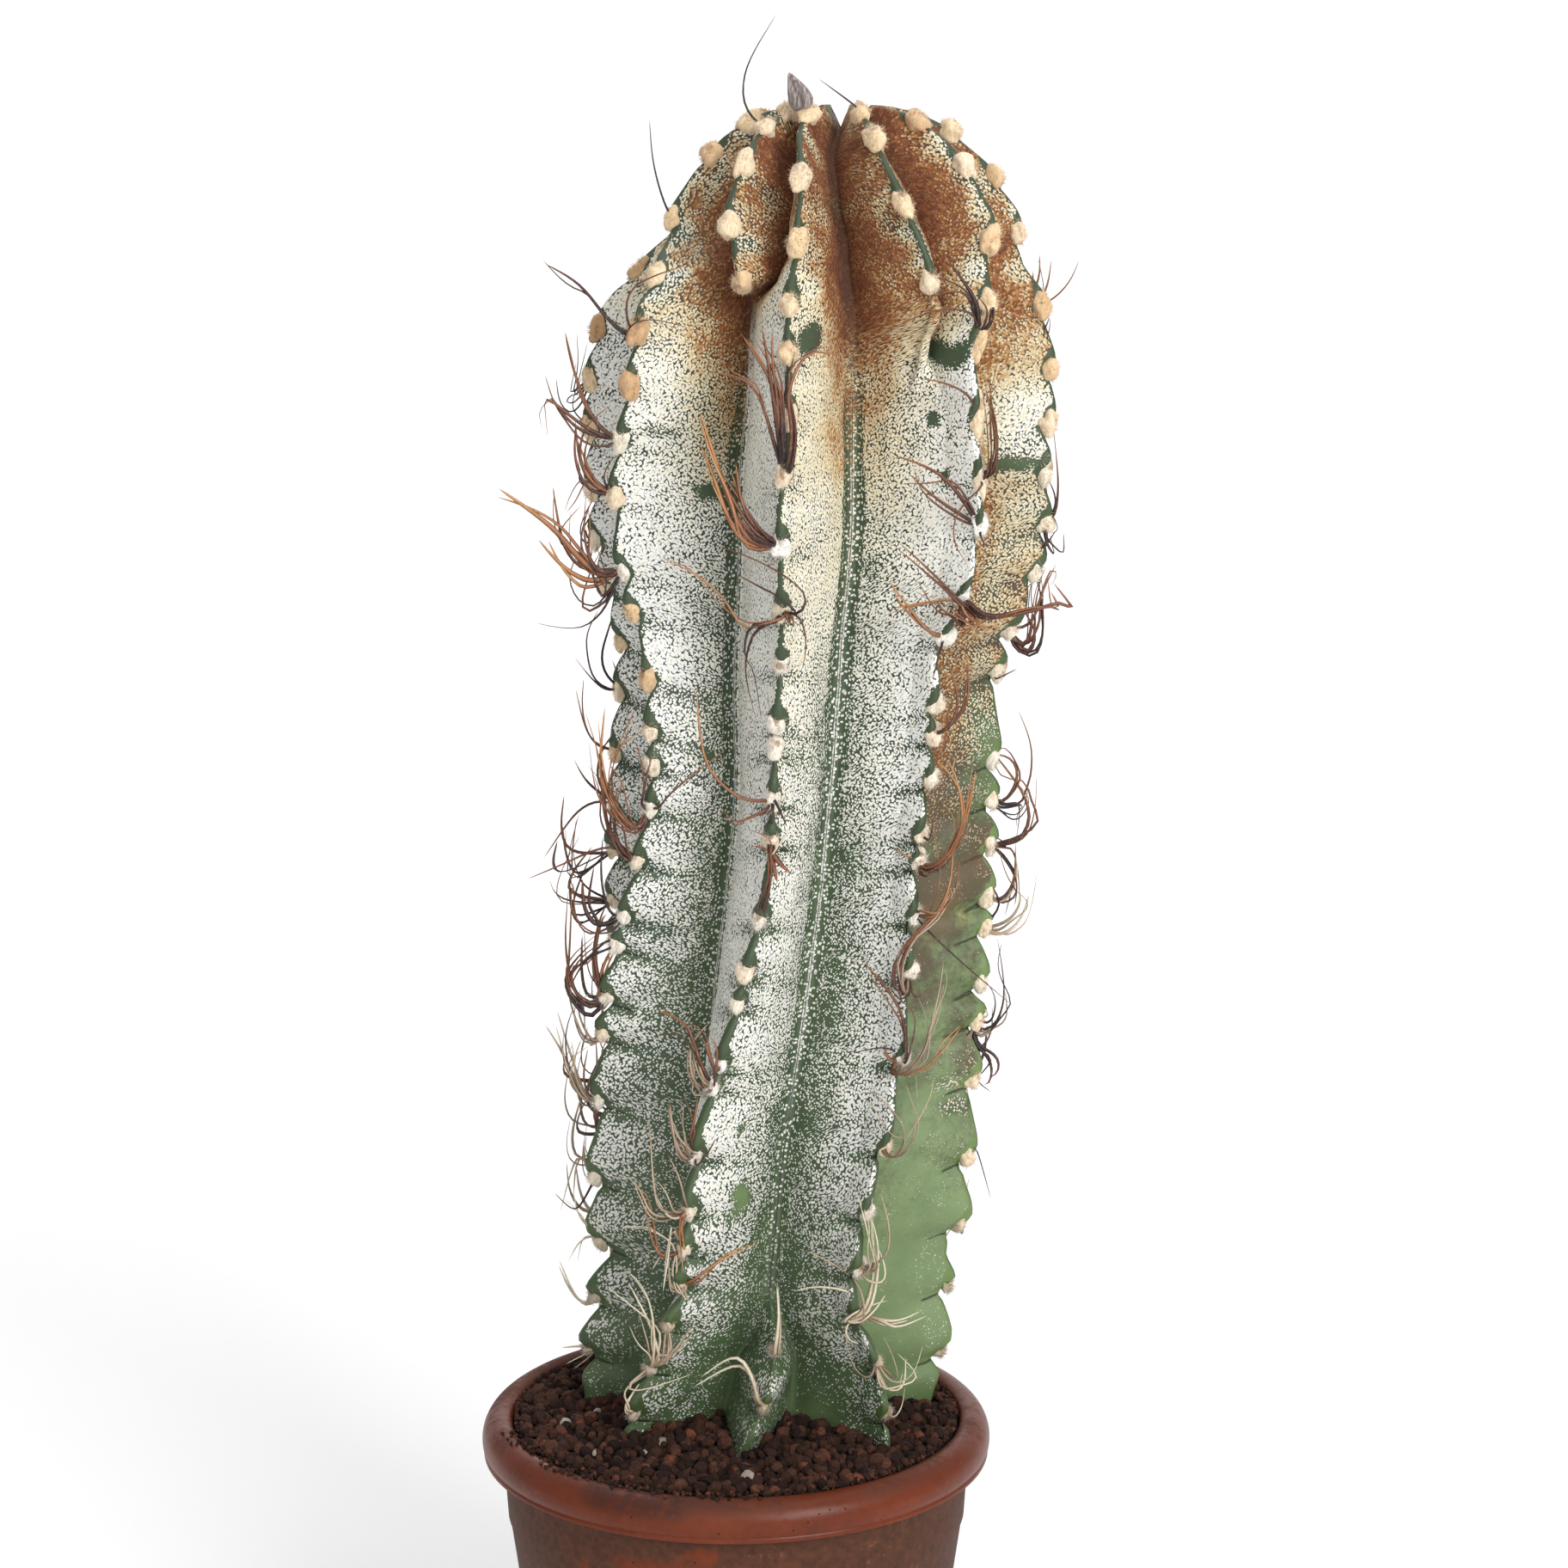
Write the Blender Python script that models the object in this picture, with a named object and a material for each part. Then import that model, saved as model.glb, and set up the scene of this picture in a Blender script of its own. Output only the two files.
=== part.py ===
"""A tall old bishop's-cap cactus in a round terracotta-coloured pot of lava grit.

Blender 4.5, metres, +Z up. The origin is the centre of the pot's underside. The stem faces -Y.
Heights on the plant are measured up from the soil, and turns are seen from above: 0 faces -Y, 90 faces +X.
"""

import math
import random

import bmesh
import bpy
import numpy as np
from mathutils import Vector

MM = 0.001
GAP = 0.3 * MM
DRAW = 41

# The pot: a thin moulded shell with a rolled rim
RIM_RADIUS = 90 * MM
RIM_HEIGHT = 14 * MM
RIM_MOUTH = 79 * MM
POT_HEIGHT = 144 * MM
WALL = 3 * MM
NECK_RADIUS = 83 * MM
BASE_RADIUS = 66 * MM
FLOOR = 4 * MM
DRAINS = 6
DRAIN_RADIUS = 4.5 * MM
DRAIN_CIRCLE = 42 * MM
POT_SIDES = 60

# The soil: grit heaped a little towards the stem
SOIL_LEVEL = 142 * MM
HEAP = 6 * MM
GRIT = 1.5 * MM
SOIL_SIDES = 80
SOIL_RINGS = 17

# The stem, in mm: its axis leans to +X as it rises, and widens in its upper third
AXIS_X = ((0, 8), (75, 15), (140, 18), (200, 22), (260, 25), (305, 29), (380, 30), (403, 33), (421, 37), (458, 36))
AXIS_Y = ((0, 8), (120, 12), (458, 12))
CREST_REACH = (
    (-85, 3), (-72, 9), (-50, 22), (-28, 42), (-12, 56), (0, 62), (28, 65), (46, 64), (56, 61), (70, 67),
    (138, 68), (200, 68), (262, 66), (278, 67), (292, 73), (310, 78), (335, 80), (366, 80), (385, 77), (396, 73),
    (405, 65), (413, 61), (424, 58), (436, 50), (450, 37), (460, 25), (469, 15), (476, 7),
)
VALLEY_REACH = (
    (-85, 2), (-72, 6), (-50, 17), (-28, 23), (0, 28), (60, 30), (140, 34), (200, 36), (300, 38), (352, 38),
    (396, 36), (413, 32), (436, 27), (450, 21), (460, 15), (469, 10), (476, 6),
)
CREST_RISE = ((-85, -85), (0, 0), (424, 424), (436, 437), (450, 450), (460, 456), (469, 458), (476, 454))
VALLEY_RISE = ((-85, -85), (0, 0), (405, 405), (424, 421), (436, 431), (450, 440), (460, 445), (476, 450))
STEM_BOTTOM = -87
STEM_TOP = 452

# The turn of each rib's crest at heights in mm, in order round the stem
CRESTS = {
    "back_left": ((0, -164), (60, -164), (150, -154), (230, -143), (396, -143), (440, -160)),
    "left_back": ((0, -126), (60, -126), (150, -113), (230, -95), (300, -92), (396, -95), (440, -122)),
    "left": ((0, -86), (60, -87), (110, -79), (160, -71), (208, -56), (235, -51), (270, -57), (332, -61), (370, -54),
             (387, -55), (404, -64), (421, -81), (440, -87)),
    "upper_left": ((385, -24), (403, -28), (421, -41), (440, -46), (460, -53)),
    "front": ((0, -50), (32, -40), (65, -31), (110, -27), (165, -16), (220, -9), (330, -10), (363, -8), (398, -11),
              (417, -15), (440, -18), (461, -29), (472, -31)),
    "low_front": ((0, -7), (22, 0), (40, 4), (60, 6)),
    "upper_right": ((390, 30), (404, 29), (428, 20), (450, 16), (460, 16)),
    "right_front": ((0, 48), (35, 36), (71, 25), (91, 26), (112, 31), (145, 35), (215, 36), (245, 40), (264, 40),
                    (288, 37), (325, 41), (362, 39), (386, 41), (398, 47), (416, 55), (440, 59)),
    "right": ((0, 93), (60, 89), (92, 84), (150, 87), (262, 89), (286, 80), (322, 77), (340, 71), (374, 79), (395, 79),
              (416, 85), (440, 90)),
    "right_back": ((0, 128), (230, 130), (396, 130), (440, 125)),
    "back": ((0, 163), (60, 160), (230, 172), (396, 172), (440, 161)),
}
# Ribs that are there only over part of the height, in mm: nothing, then full, or full, then nothing
PRESENCE = {
    "upper_left": ((396, 0), (404, 0.9), (412, 1)),
    "upper_right": ((366, 0), (386, 0.45), (400, 0.9), (412, 1)),
    "low_front": ((0, 1), (30, 0.95), (52, 0)),
}
LOW_FRONT_REACH = 0.95
LEFT_VALLEY_SKEW = ((100, 0), (200, -8), (300, -11), (390, -10))
FRONT_VALLEY_SKEW = ((390, 0), (430, -8), (452, -6), (470, 0))
PINCH_TURN = 3.0
FORK_CREST, FORK_VALLEY = 0.45, 0.72
FLANK_SWELL = ((0, 1), (60, 2), (300, 1.5), (385, 2.5), (410, 5), (440, 6), (470, 1))
CREST_WIDTH = 5.2
BURIED_ROWS = (-72, -45, -20, 0, 14, 28)
ROWS = BURIED_ROWS + (44, 61, *range(80, 380, 22), 389, 397, 403, 409, 417, 427, 437, 446, 454, 461, 468, 476)

# Areoles: cushions of wool along every crest, at heights in mm where the photo shows them, and elsewhere by a rule
AREOLES = {
    "left": (23, 42, 62, 87, 117, 142, 156, 176, 187, 208, 227, 242, 253, 270, 293, 307, 332, 351, 370, 387, 404,
             421, 442, 455),
    "upper_left": (403, 421, 440, 453, 463),
    "front": (14, 32, 48, 63, 77, 91, 111, 136, 144, 165, 176, 194, 221, 235, 252, 260, 280, 299, 321, 344, 363, 383,
              398, 417, 436, 461),
    "low_front": (22, 38),
    "upper_right": (404, 428, 449, 462),
    "right_front": (15, 35, 53, 71, 91, 113, 144, 174, 193, 212, 221, 239, 254, 264, 288, 302, 325, 342, 362, 387, 397,
                    416, 439, 456),
    "right": (20, 45, 68, 94, 122, 143, 156, 176, 187, 205, 221, 236, 267, 282, 303, 320, 339, 354, 372, 393, 416, 434,
              450),
}
AREOLE_STEP = ((0, 15), (90, 16), (200, 19), (320, 21), (400, 18), (460, 19))
STEP_JITTER = 0.2
FIRST_AREOLE, LAST_AREOLE = 13, 462
CUSHION = (2.4 * MM, 3.6 * MM, 3.2 * MM)
CUSHION_ROOT = 1.4 * MM
CROWN_WOOL = (8 * MM, 8 * MM, 4 * MM)
BUD_LENGTH, BUD_RADIUS = 13 * MM, 4.5 * MM
BUD_PROFILE = ((-0.15, 0.8), (0.25, 1), (0.6, 0.75), (0.9, 0.3))

# Spines: flat, papery, curving out of an areole and up
SPINE_LENGTH = (30 * MM, 52 * MM)
SPINE_ROOT, SPINE_TIP = 0.95 * MM, 0.4 * MM
SPINE_SPANS = 4
SPINE_CURL = 1.25
ROOT_DEPTH = 2.5 * MM
SPINED_SHARE = ((0, 0.9), (290, 0.85), (340, 0.45), (400, 0.2), (460, 0.15))
SPINES_KEPT = 52
SPINE_CLEAR = 9 * MM
# The few that reach furthest: rib, height in mm, length in mm, then how they lean sideways, up and up at the tip
FAR_SPINES = (
    ("upper_left", 455, 44, -0.4, 0.6, 1.0),
    ("left", 421, 36, -0.1, 0.3, 1.3),
    ("left_back", 385, 34, 0.5, 0.7, 0.5),
    ("left_back", 304, 52, 0.3, 0.1, 0.5),
    ("left_back", 205, 46, 0.3, -0.5, 0.1),
    ("right", 300, 40, -0.3, 0.1, 1.2),
    ("right", 210, 52, 0.2, -0.3, 1.2),
)


def through(stations, place):
    """The smooth curve through (place, value) stations, never past their values and level past its ends."""
    x, y = np.array(stations, float).T
    rise, slope = np.diff(y) / np.diff(x), np.gradient(y, x)
    steepest = 3 * np.minimum(np.abs(rise[1:]), np.abs(rise[:-1])) * (rise[1:] * rise[:-1] > 0)
    slope[1:-1] = np.clip(slope[1:-1], -steepest, steepest)
    place = np.clip(np.asarray(place, float), x[0], x[-1])
    k = np.clip(np.searchsorted(x, place) - 1, 0, len(x) - 2)
    span = x[k + 1] - x[k]
    s = (place - x[k]) / span
    return (
        (2 * s**3 - 3 * s**2 + 1) * y[k]
        + (s**3 - 2 * s**2 + s) * slope[k] * span
        + (3 * s**2 - 2 * s**3) * y[k + 1]
        + (s**3 - s**2) * slope[k + 1] * span
    )


def straight(stations, place):
    """The broken line through (place, value) stations, level past its ends."""
    x, y = np.array(stations, float).T
    return np.interp(place, x, y)


def polar(turn, reach):
    """Points at a turn in degrees and a reach from the axis."""
    angle = np.radians(turn)
    return np.stack([reach * np.sin(angle), -reach * np.cos(angle)], -1)


def blend(a, b, share):
    return a + (b - a) * share[:, None]


def stem_lines(height):
    """Round the axis at heights in mm: the crest points, the valley points after each, and how far each rib is there."""
    reach, depth = straight(CREST_REACH, height), straight(VALLEY_REACH, height)
    turn = {rib: through(stations, height) for rib, stations in CRESTS.items()}
    there = {rib: straight(stations, height) for rib, stations in PRESENCE.items()}
    crest = {rib: polar(turn[rib], reach) for rib in CRESTS}

    middle = (turn["left"] + turn["front"]) / 2 + straight(LEFT_VALLEY_SKEW, height)
    share = there["upper_left"]
    crest["upper_left"] = blend(polar(middle, depth), crest["upper_left"], share)
    valley = {}
    valley["left"] = blend(polar(middle - PINCH_TURN, depth), polar((turn["left"] + turn["upper_left"]) / 2, depth), share)
    valley["upper_left"] = blend(
        polar(middle + PINCH_TURN, depth), polar((turn["upper_left"] + turn["front"]) / 2, depth), share
    )

    share, fork = there["low_front"], there["upper_right"]
    beside = turn["right_front"] + (turn["upper_right"] - turn["right_front"]) * fork
    middle = (turn["front"] + beside) / 2 + straight(FRONT_VALLEY_SKEW, height)
    crest["low_front"] = blend(polar(middle, depth), polar(turn["low_front"], reach * LOW_FRONT_REACH), share)
    valley["front"] = blend(
        polar(middle - PINCH_TURN, depth), polar((turn["front"] + turn["low_front"]) / 2, depth), share
    )
    valley["low_front"] = blend(
        polar(middle + PINCH_TURN, depth), polar((turn["low_front"] + turn["right_front"]) / 2, depth), share
    )
    flank = crest["right_front"] - valley["low_front"]
    crest["upper_right"] = blend(valley["low_front"] + flank * FORK_CREST, crest["upper_right"], fork)
    valley["upper_right"] = blend(
        valley["low_front"] + flank * FORK_VALLEY,
        polar((turn["upper_right"] + turn["right_front"]) / 2, depth * 1.1),
        fork,
    )

    names = list(CRESTS)
    for rib, following in zip(names, names[1:] + names[:1]):
        if rib not in valley:
            ahead = turn[following] + (360 if rib == names[-1] else 0)
            valley[rib] = polar((turn[rib] + ahead) / 2, depth)
    return [crest[rib] for rib in names], [valley[rib] for rib in names], [there.get(rib, 1) for rib in names]


def across(line):
    """The line's unit perpendicular, to its right as seen from above."""
    length = np.linalg.norm(line, axis=-1, keepdims=True)
    return np.stack([line[:, 1], -line[:, 0]], -1) / np.maximum(length, 1e-9)


def grown(rings, distance):
    """Closed flat rings with every edge moved out by a distance."""
    edge = np.roll(rings, -1, 1) - rings
    normal = across(edge.reshape(-1, 2)).reshape(edge.shape)
    both = normal + np.roll(normal, 1, 1)
    share = 1 + (normal * np.roll(normal, 1, 1)).sum(-1, keepdims=True)
    return rings + distance * both / np.maximum(share, 0.3)


def stem_rings(rows, swell=0.0):
    """Closed rings of points round the stem in metres, one for each height in mm, moved out by swell in mm."""
    height = np.array(rows, float)
    crests, valleys, shares = stem_lines(height)
    bulge = straight(FLANK_SWELL, height)
    centre = np.stack([through(AXIS_X, height), through(AXIS_Y, height)], -1)
    rise, sink = straight(CREST_RISE, height), straight(VALLEY_RISE, height)
    columns = []
    for k, crest in enumerate(crests):
        before, after = valleys[k - 1], valleys[k]
        lift = sink + (rise - sink) * shares[k]
        chord = before - after
        width = np.linalg.norm(chord, axis=-1, keepdims=True)
        side = chord / width
        reach = np.linalg.norm(crest, axis=-1, keepdims=True)
        half = np.minimum(CREST_WIDTH / 2, np.minimum(0.22 * width, 0.1 * reach))
        full = np.linalg.norm(crest - (before + after) / 2, axis=-1)
        puff = np.minimum(bulge, 0.1 * full)[:, None]
        columns += [
            (before, sink),
            ((before + crest) / 2 + across(crest - before) * puff, (lift + sink) / 2),
            (crest + side * half, lift),
            (crest - side * half, lift),
            ((after + crest) / 2 - across(crest - after) * puff, (lift + sink) / 2),
        ]
    flat = np.stack([place for place, _ in columns], 1)
    flat = grown(flat, swell) + centre[:, None]
    level = np.stack([z for _, z in columns], 1)
    rings = np.concatenate([flat, level[..., None]], -1) * MM
    rings[..., 2] += SOIL_LEVEL
    return rings


def lofted(name, rings, first, last):
    """A closed mesh object through rings of equally many points, with one point before them and one after."""
    count = len(rings[0])
    points = [first, *(point for ring in rings for point in ring), last]
    faces = [(0, 1 + (i + 1) % count, 1 + i) for i in range(count)]
    for row in range(len(rings) - 1):
        low, high = 1 + row * count, 1 + (row + 1) * count
        faces += [(low + i, low + (i + 1) % count, high + (i + 1) % count, high + i) for i in range(count)]
    top = 1 + (len(rings) - 1) * count
    faces += [(top + i, top + (i + 1) % count, len(points) - 1) for i in range(count)]
    mesh = bpy.data.meshes.new(name)
    mesh.from_pydata([tuple(map(float, point)) for point in points], [], faces)
    bm = bmesh.new()
    bm.from_mesh(mesh)
    bmesh.ops.recalc_face_normals(bm, faces=bm.faces)
    bm.to_mesh(mesh)
    bm.free()
    return placed(name, mesh)


def placed(name, mesh):
    made = bpy.data.objects.new(name, mesh)
    bpy.context.scene.collection.objects.link(made)
    return made


def axis_point(height, level):
    """The point of the stem's axis at a height in mm, at a level in mm above the soil."""
    return (float(through(AXIS_X, height)) * MM, float(through(AXIS_Y, height)) * MM, SOIL_LEVEL + level * MM)


def crest_point(rib, height):
    """A point on a rib's crest in metres, and the ways out of the rib, sideways along +turn, and up the crest."""
    places = []
    for at in (height - 2, height, height + 2):
        crests, _, _ = stem_lines(np.array([float(at)]))
        flat = crests[list(CRESTS).index(rib)][0]
        places.append(Vector((*(flat * MM), float(straight(CREST_RISE, at)) * MM)) + Vector(axis_point(at, 0)))
    up = (places[2] - places[0]).normalized()
    out = Vector((*flat, 0)).normalized()
    out = (out - up * out.dot(up)).normalized()
    return places[1], out, up.cross(out) * -1, up


def areole_heights(rib):
    """Heights in mm of the areoles up a rib: those of the photo, or each a jittered step above the last."""
    if rib in AREOLES:
        return AREOLES[rib]
    draw = random.Random(DRAW + 7 * list(CRESTS).index(rib))
    height = FIRST_AREOLE + draw.uniform(0, 8)
    found = []
    while height < LAST_AREOLE:
        found.append(height)
        height += float(straight(AREOLE_STEP, height)) * draw.uniform(1 - STEP_JITTER, 1 + STEP_JITTER)
    return found


def cushion(centre, out, up, size, sides=5):
    """A few-sided dome: size is its reach sideways, along the crest and out of it."""
    side = up.cross(out)

    def ring(scale, level):
        turns = [2 * math.pi * (k + 0.25) / sides for k in range(sides)]
        return [
            centre + side * (size[0] * scale * math.cos(a)) + up * (size[1] * scale * math.sin(a)) + out * level
            for a in turns
        ]

    rings = [ring(1, -CUSHION_ROOT), ring(0.8, size[2] * 0.72)]
    return lofted("wool", rings, centre - out * CUSHION_ROOT * 1.2, centre + out * size[2])


def spine_path(root, start, end, length):
    """Points from a root, setting out along start and bending towards end, kept clear of the soil."""
    points, place = [root], root.copy()
    for k in range(SPINE_SPANS):
        bend = min(1, SPINE_CURL * (k + 0.5) / SPINE_SPANS)
        place = place + (start * (1 - bend) + end * bend).normalized() * (length / SPINE_SPANS)
        place.z = max(place.z, SOIL_LEVEL + SPINE_CLEAR)
        points.append(place.copy())
    return points


def spine(name, points):
    """A three-sided tapering needle along points, closed at both ends."""
    bm = bmesh.new()
    loops = []
    side = Vector((0, 0, 1))
    for k, place in enumerate(points[:-1]):
        along = (points[k + 1] - points[max(k - 1, 0)]).normalized()
        side = (side - along * side.dot(along)).normalized()
        over = along.cross(side)
        radius = SPINE_ROOT + (SPINE_TIP - SPINE_ROOT) * k / SPINE_SPANS
        corners = ((math.cos(a) * radius, math.sin(a) * radius) for a in (0, 2 * math.pi / 3, 4 * math.pi / 3))
        loops.append([bm.verts.new(place + side * c + over * s) for c, s in corners])
    for low, high in zip(loops, loops[1:]):
        for i in range(3):
            bm.faces.new((low[i], low[(i + 1) % 3], high[(i + 1) % 3], high[i]))
    tip = bm.verts.new(points[-1])
    for i in range(3):
        bm.faces.new((loops[-1][i], loops[-1][(i + 1) % 3], tip))
    bm.faces.new(loops[0][::-1])
    bmesh.ops.recalc_face_normals(bm, faces=bm.faces)
    mesh = bpy.data.meshes.new(name)
    bm.to_mesh(mesh)
    bm.free()
    return placed(name, mesh)


def spine_plans():
    """Every spine of the plant as (rib, height, length, lean, lift, tip lift), in a fixed order."""
    draw = random.Random(DRAW)
    plans = []
    for rib in CRESTS:
        for height in areole_heights(rib):
            bearing = draw.random() < float(straight(SPINED_SHARE, height))
            for _ in range(draw.randint(3, 7)):
                plan = (rib, height, draw.uniform(*SPINE_LENGTH), draw.uniform(-0.9, 0.9), draw.uniform(-0.9, 0.3), 1.1)
                if bearing:
                    plans.append(plan)
    return plans


def stem_spines():
    """The kept spines: the far-reaching ones, and an even share of the rest on every side."""
    plans = spine_plans()
    even = plans[:: max(1, len(plans) // SPINES_KEPT)]
    far = [(rib, height, length * MM, *lean) for rib, height, length, *lean in FAR_SPINES]
    made = []
    for rib, height, length, lean, lift, tip_lift in far + even:
        root, out, side, up = crest_point(rib, height)
        start = (out * 0.9 + side * lean + up * lift).normalized()
        end = (Vector((0, 0, 1)) * tip_lift + out * 0.12 + side * lean * 0.5).normalized()
        made.append(spine("spine", spine_path(root - out * ROOT_DEPTH, start, end, length)))
    return made


def wool():
    """Cushions on every crest, one on the crown, and the bud with its collar."""
    made = []
    for rib in CRESTS:
        for height in areole_heights(rib):
            place, out, _, up = crest_point(rib, height)
            made.append(cushion(place, out, up, CUSHION))
    crown = Vector(axis_point(476, STEM_TOP))
    made.append(cushion(crown, Vector((0, 0, 1)), Vector((0, 1, 0)), CROWN_WOOL, 8))
    return made


def bud():
    """The dry bud on the front rib's topmost areole, leaning to the left."""
    root, _, _, _ = crest_point("front", AREOLES["front"][-1])
    lean = Vector((-0.38, -0.05, 1)).normalized()
    side = lean.cross(Vector((0, 1, 0))).normalized()
    over = lean.cross(side)
    rings = []
    for share, width in BUD_PROFILE:
        place = root + lean * BUD_LENGTH * share
        turns = [2 * math.pi * k / 7 for k in range(7)]
        rings.append([place + (side * math.cos(a) + over * math.sin(a)) * BUD_RADIUS * width for a in turns])
    return lofted("bud", rings, root - lean * BUD_LENGTH * 0.2, root + lean * BUD_LENGTH)


def joined(body, pieces, solver):
    """The body with loose pieces fused to it by one union; the pieces are then removed."""
    gathered = bpy.data.collections.new("fused")
    for piece in pieces:
        gathered.objects.link(piece)
    union = body.modifiers.new("fuse", "BOOLEAN")
    union.operation, union.solver = "UNION", solver
    union.operand_type, union.collection = "COLLECTION", gathered
    mesh = bpy.data.meshes.new_from_object(body.evaluated_get(bpy.context.evaluated_depsgraph_get()))
    body.modifiers.clear()
    body.data = mesh
    for piece in pieces:
        bpy.data.objects.remove(piece)
    bpy.data.collections.remove(gathered)
    return body


def stem():
    rings = stem_rings(ROWS)
    body = lofted("stem", rings, axis_point(-85, STEM_BOTTOM), axis_point(476, STEM_TOP))
    return joined(body, wool() + [bud()] + stem_spines(), "EXACT")


def heap(radius):
    """The soil's height above its level at the wall, for a distance from the pot's axis."""
    inward = np.clip((76 * MM - radius) / (46 * MM), 0, 1)
    return HEAP * inward * inward * (3 - 2 * inward)


def soil():
    """The grit that fills the pot, its top raised into grains, with a hole that the stem stands in."""
    draw = np.random.default_rng(DRAW)
    turn = np.linspace(0, 2 * math.pi, SOIL_SIDES, endpoint=False)
    circle = np.stack([np.sin(turn), -np.cos(turn)], -1)

    def ring(radius, level):
        level = np.broadcast_to(level, (SOIL_SIDES,))
        return np.concatenate([circle * radius, level[:, None]], -1)

    facet = math.cos(math.pi / POT_SIDES)
    foot = FLOOR + GAP
    wall = [(radius * facet - GAP, level) for radius, level in inside_profile()[::-1]]
    (neck, neck_level), (mouth, mouth_level) = wall[-2:]
    edge = neck + (mouth - neck) * (SOIL_LEVEL - neck_level) / (mouth_level - neck_level)
    rings = [ring(20 * MM, foot)] + [ring(radius, level + GAP) for radius, level in wall[:-1]]
    for k, radius in enumerate(np.linspace(edge, 12 * MM, SOIL_RINGS)):
        grains = np.where((np.arange(SOIL_SIDES) + k) % 2 == 0, 1.0, -0.4) * draw.uniform(0.3, 1, SOIL_SIDES)
        radii = radius + draw.uniform(-0.9, 0.9, (SOIL_SIDES, 1)) * MM * (0 < k < SOIL_RINGS - 1)
        top = SOIL_LEVEL + heap(radius) + GRIT * grains * (k > 0)
        rings.append(np.concatenate([circle * radii, top[:, None]], -1))
    made = lofted("soil", rings, (0, 0, foot), (0, 0, SOIL_LEVEL + HEAP))
    socket = lofted(
        "stem_socket", stem_rings(BURIED_ROWS, 0.35), axis_point(-85, STEM_BOTTOM - 0.4), axis_point(28, 28)
    )
    cut(made, socket)
    return made


def cut(body, cutter):
    cutter.hide_render, cutter.display_type = True, "WIRE"
    cutting = body.modifiers.new(cutter.name, "BOOLEAN")
    cutting.operation, cutting.object = "DIFFERENCE", cutter


def rim_profile():
    """The rolled rim's outline, from its lower outer edge over the top to the mouth."""
    low = POT_HEIGHT - RIM_HEIGHT
    points = [(NECK_RADIUS + 0.4 * MM, low + 1.5 * MM), (RIM_RADIUS - 1.2 * MM, low)]
    for k in range(6):
        angle = math.radians(-12 + 102 * k / 5)
        points.append((
            RIM_RADIUS - 7.5 * MM + 7.5 * MM * math.cos(angle),
            POT_HEIGHT - 8.5 * MM + 8.5 * MM * math.sin(angle),
        ))
    return points + [(RIM_MOUTH + 0.6 * MM, POT_HEIGHT - 1.6 * MM)]


def inside_profile():
    """The shell's inner outline, from the mouth down to the floor."""
    foot = BASE_RADIUS + 1 * MM - WALL
    return [
        (RIM_MOUTH, POT_HEIGHT - 4 * MM),
        (NECK_RADIUS - WALL, POT_HEIGHT - RIM_HEIGHT - 6 * MM),
        (foot, FLOOR + 2 * MM),
        (foot - 2 * MM, FLOOR),
    ]


def pot():
    """The turned shell, closed below but for its drain holes."""
    foot = 1.5 * MM
    outside = [(0, 0), (30 * MM, 0), (BASE_RADIUS - foot, 0), (BASE_RADIUS, foot), (NECK_RADIUS, POT_HEIGHT - RIM_HEIGHT)]
    inside = inside_profile() + [(30 * MM, FLOOR), (0, FLOOR)]
    bm = bmesh.new()
    verts = [bm.verts.new((radius, 0, level)) for radius, level in outside + rim_profile() + inside]
    edges = [bm.edges.new(pair) for pair in zip(verts, verts[1:])]
    bmesh.ops.spin(bm, geom=verts + edges, cent=(0, 0, 0), axis=(0, 0, 1), angle=2 * math.pi, steps=POT_SIDES, use_merge=True)
    bmesh.ops.remove_doubles(bm, verts=bm.verts, dist=1e-5)
    bmesh.ops.recalc_face_normals(bm, faces=bm.faces)
    mesh = bpy.data.meshes.new("pot")
    bm.to_mesh(mesh)
    bm.free()
    made = placed("pot", mesh)
    for k in range(DRAINS):
        turn = 2 * math.pi * (k + 0.55) / DRAINS
        bpy.ops.mesh.primitive_cylinder_add(
            vertices=12, radius=DRAIN_RADIUS, depth=4 * FLOOR,
            location=(DRAIN_CIRCLE * math.cos(turn), DRAIN_CIRCLE * math.sin(turn), FLOOR / 2),
        )
        drain = bpy.context.object
        drain.name = f"drain_{k + 1}"
        cut(made, drain)
    return made


def finish(made, colour, roughness):
    """A smooth-shaded object with a plain material of its own."""
    made.data.shade_smooth()
    made.data.set_sharp_from_angle(angle=math.radians(35))
    paint = bpy.data.materials.new(made.name)
    paint.use_nodes = True
    shader = paint.node_tree.nodes["Principled BSDF"]
    shader.inputs["Base Color"].default_value = (*colour, 1)
    shader.inputs["Roughness"].default_value = roughness
    made.data.materials.clear()
    made.data.materials.append(paint)


def main():
    for old in list(bpy.data.objects):
        bpy.data.objects.remove(old)
    finish(pot(), (0.33, 0.11, 0.06), 0.5)
    finish(soil(), (0.09, 0.045, 0.035), 0.95)
    finish(stem(), (0.38, 0.42, 0.34), 0.8)


main()
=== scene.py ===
"""Looks for a tall old bishop's-cap cactus in a terracotta-coloured pot of lava grit.

Blender 4.5, metres, +Z up, the plant faces -Y. Heights on the plant are in mm above the soil. Turns are in
degrees seen from above: 0 faces -Y and 90 faces +X. A rib's flank is -1 on its side of smaller turn and 1 on
the other.
"""

import math
import random

import bpy
import numpy as np
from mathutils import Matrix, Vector, noise


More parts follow.
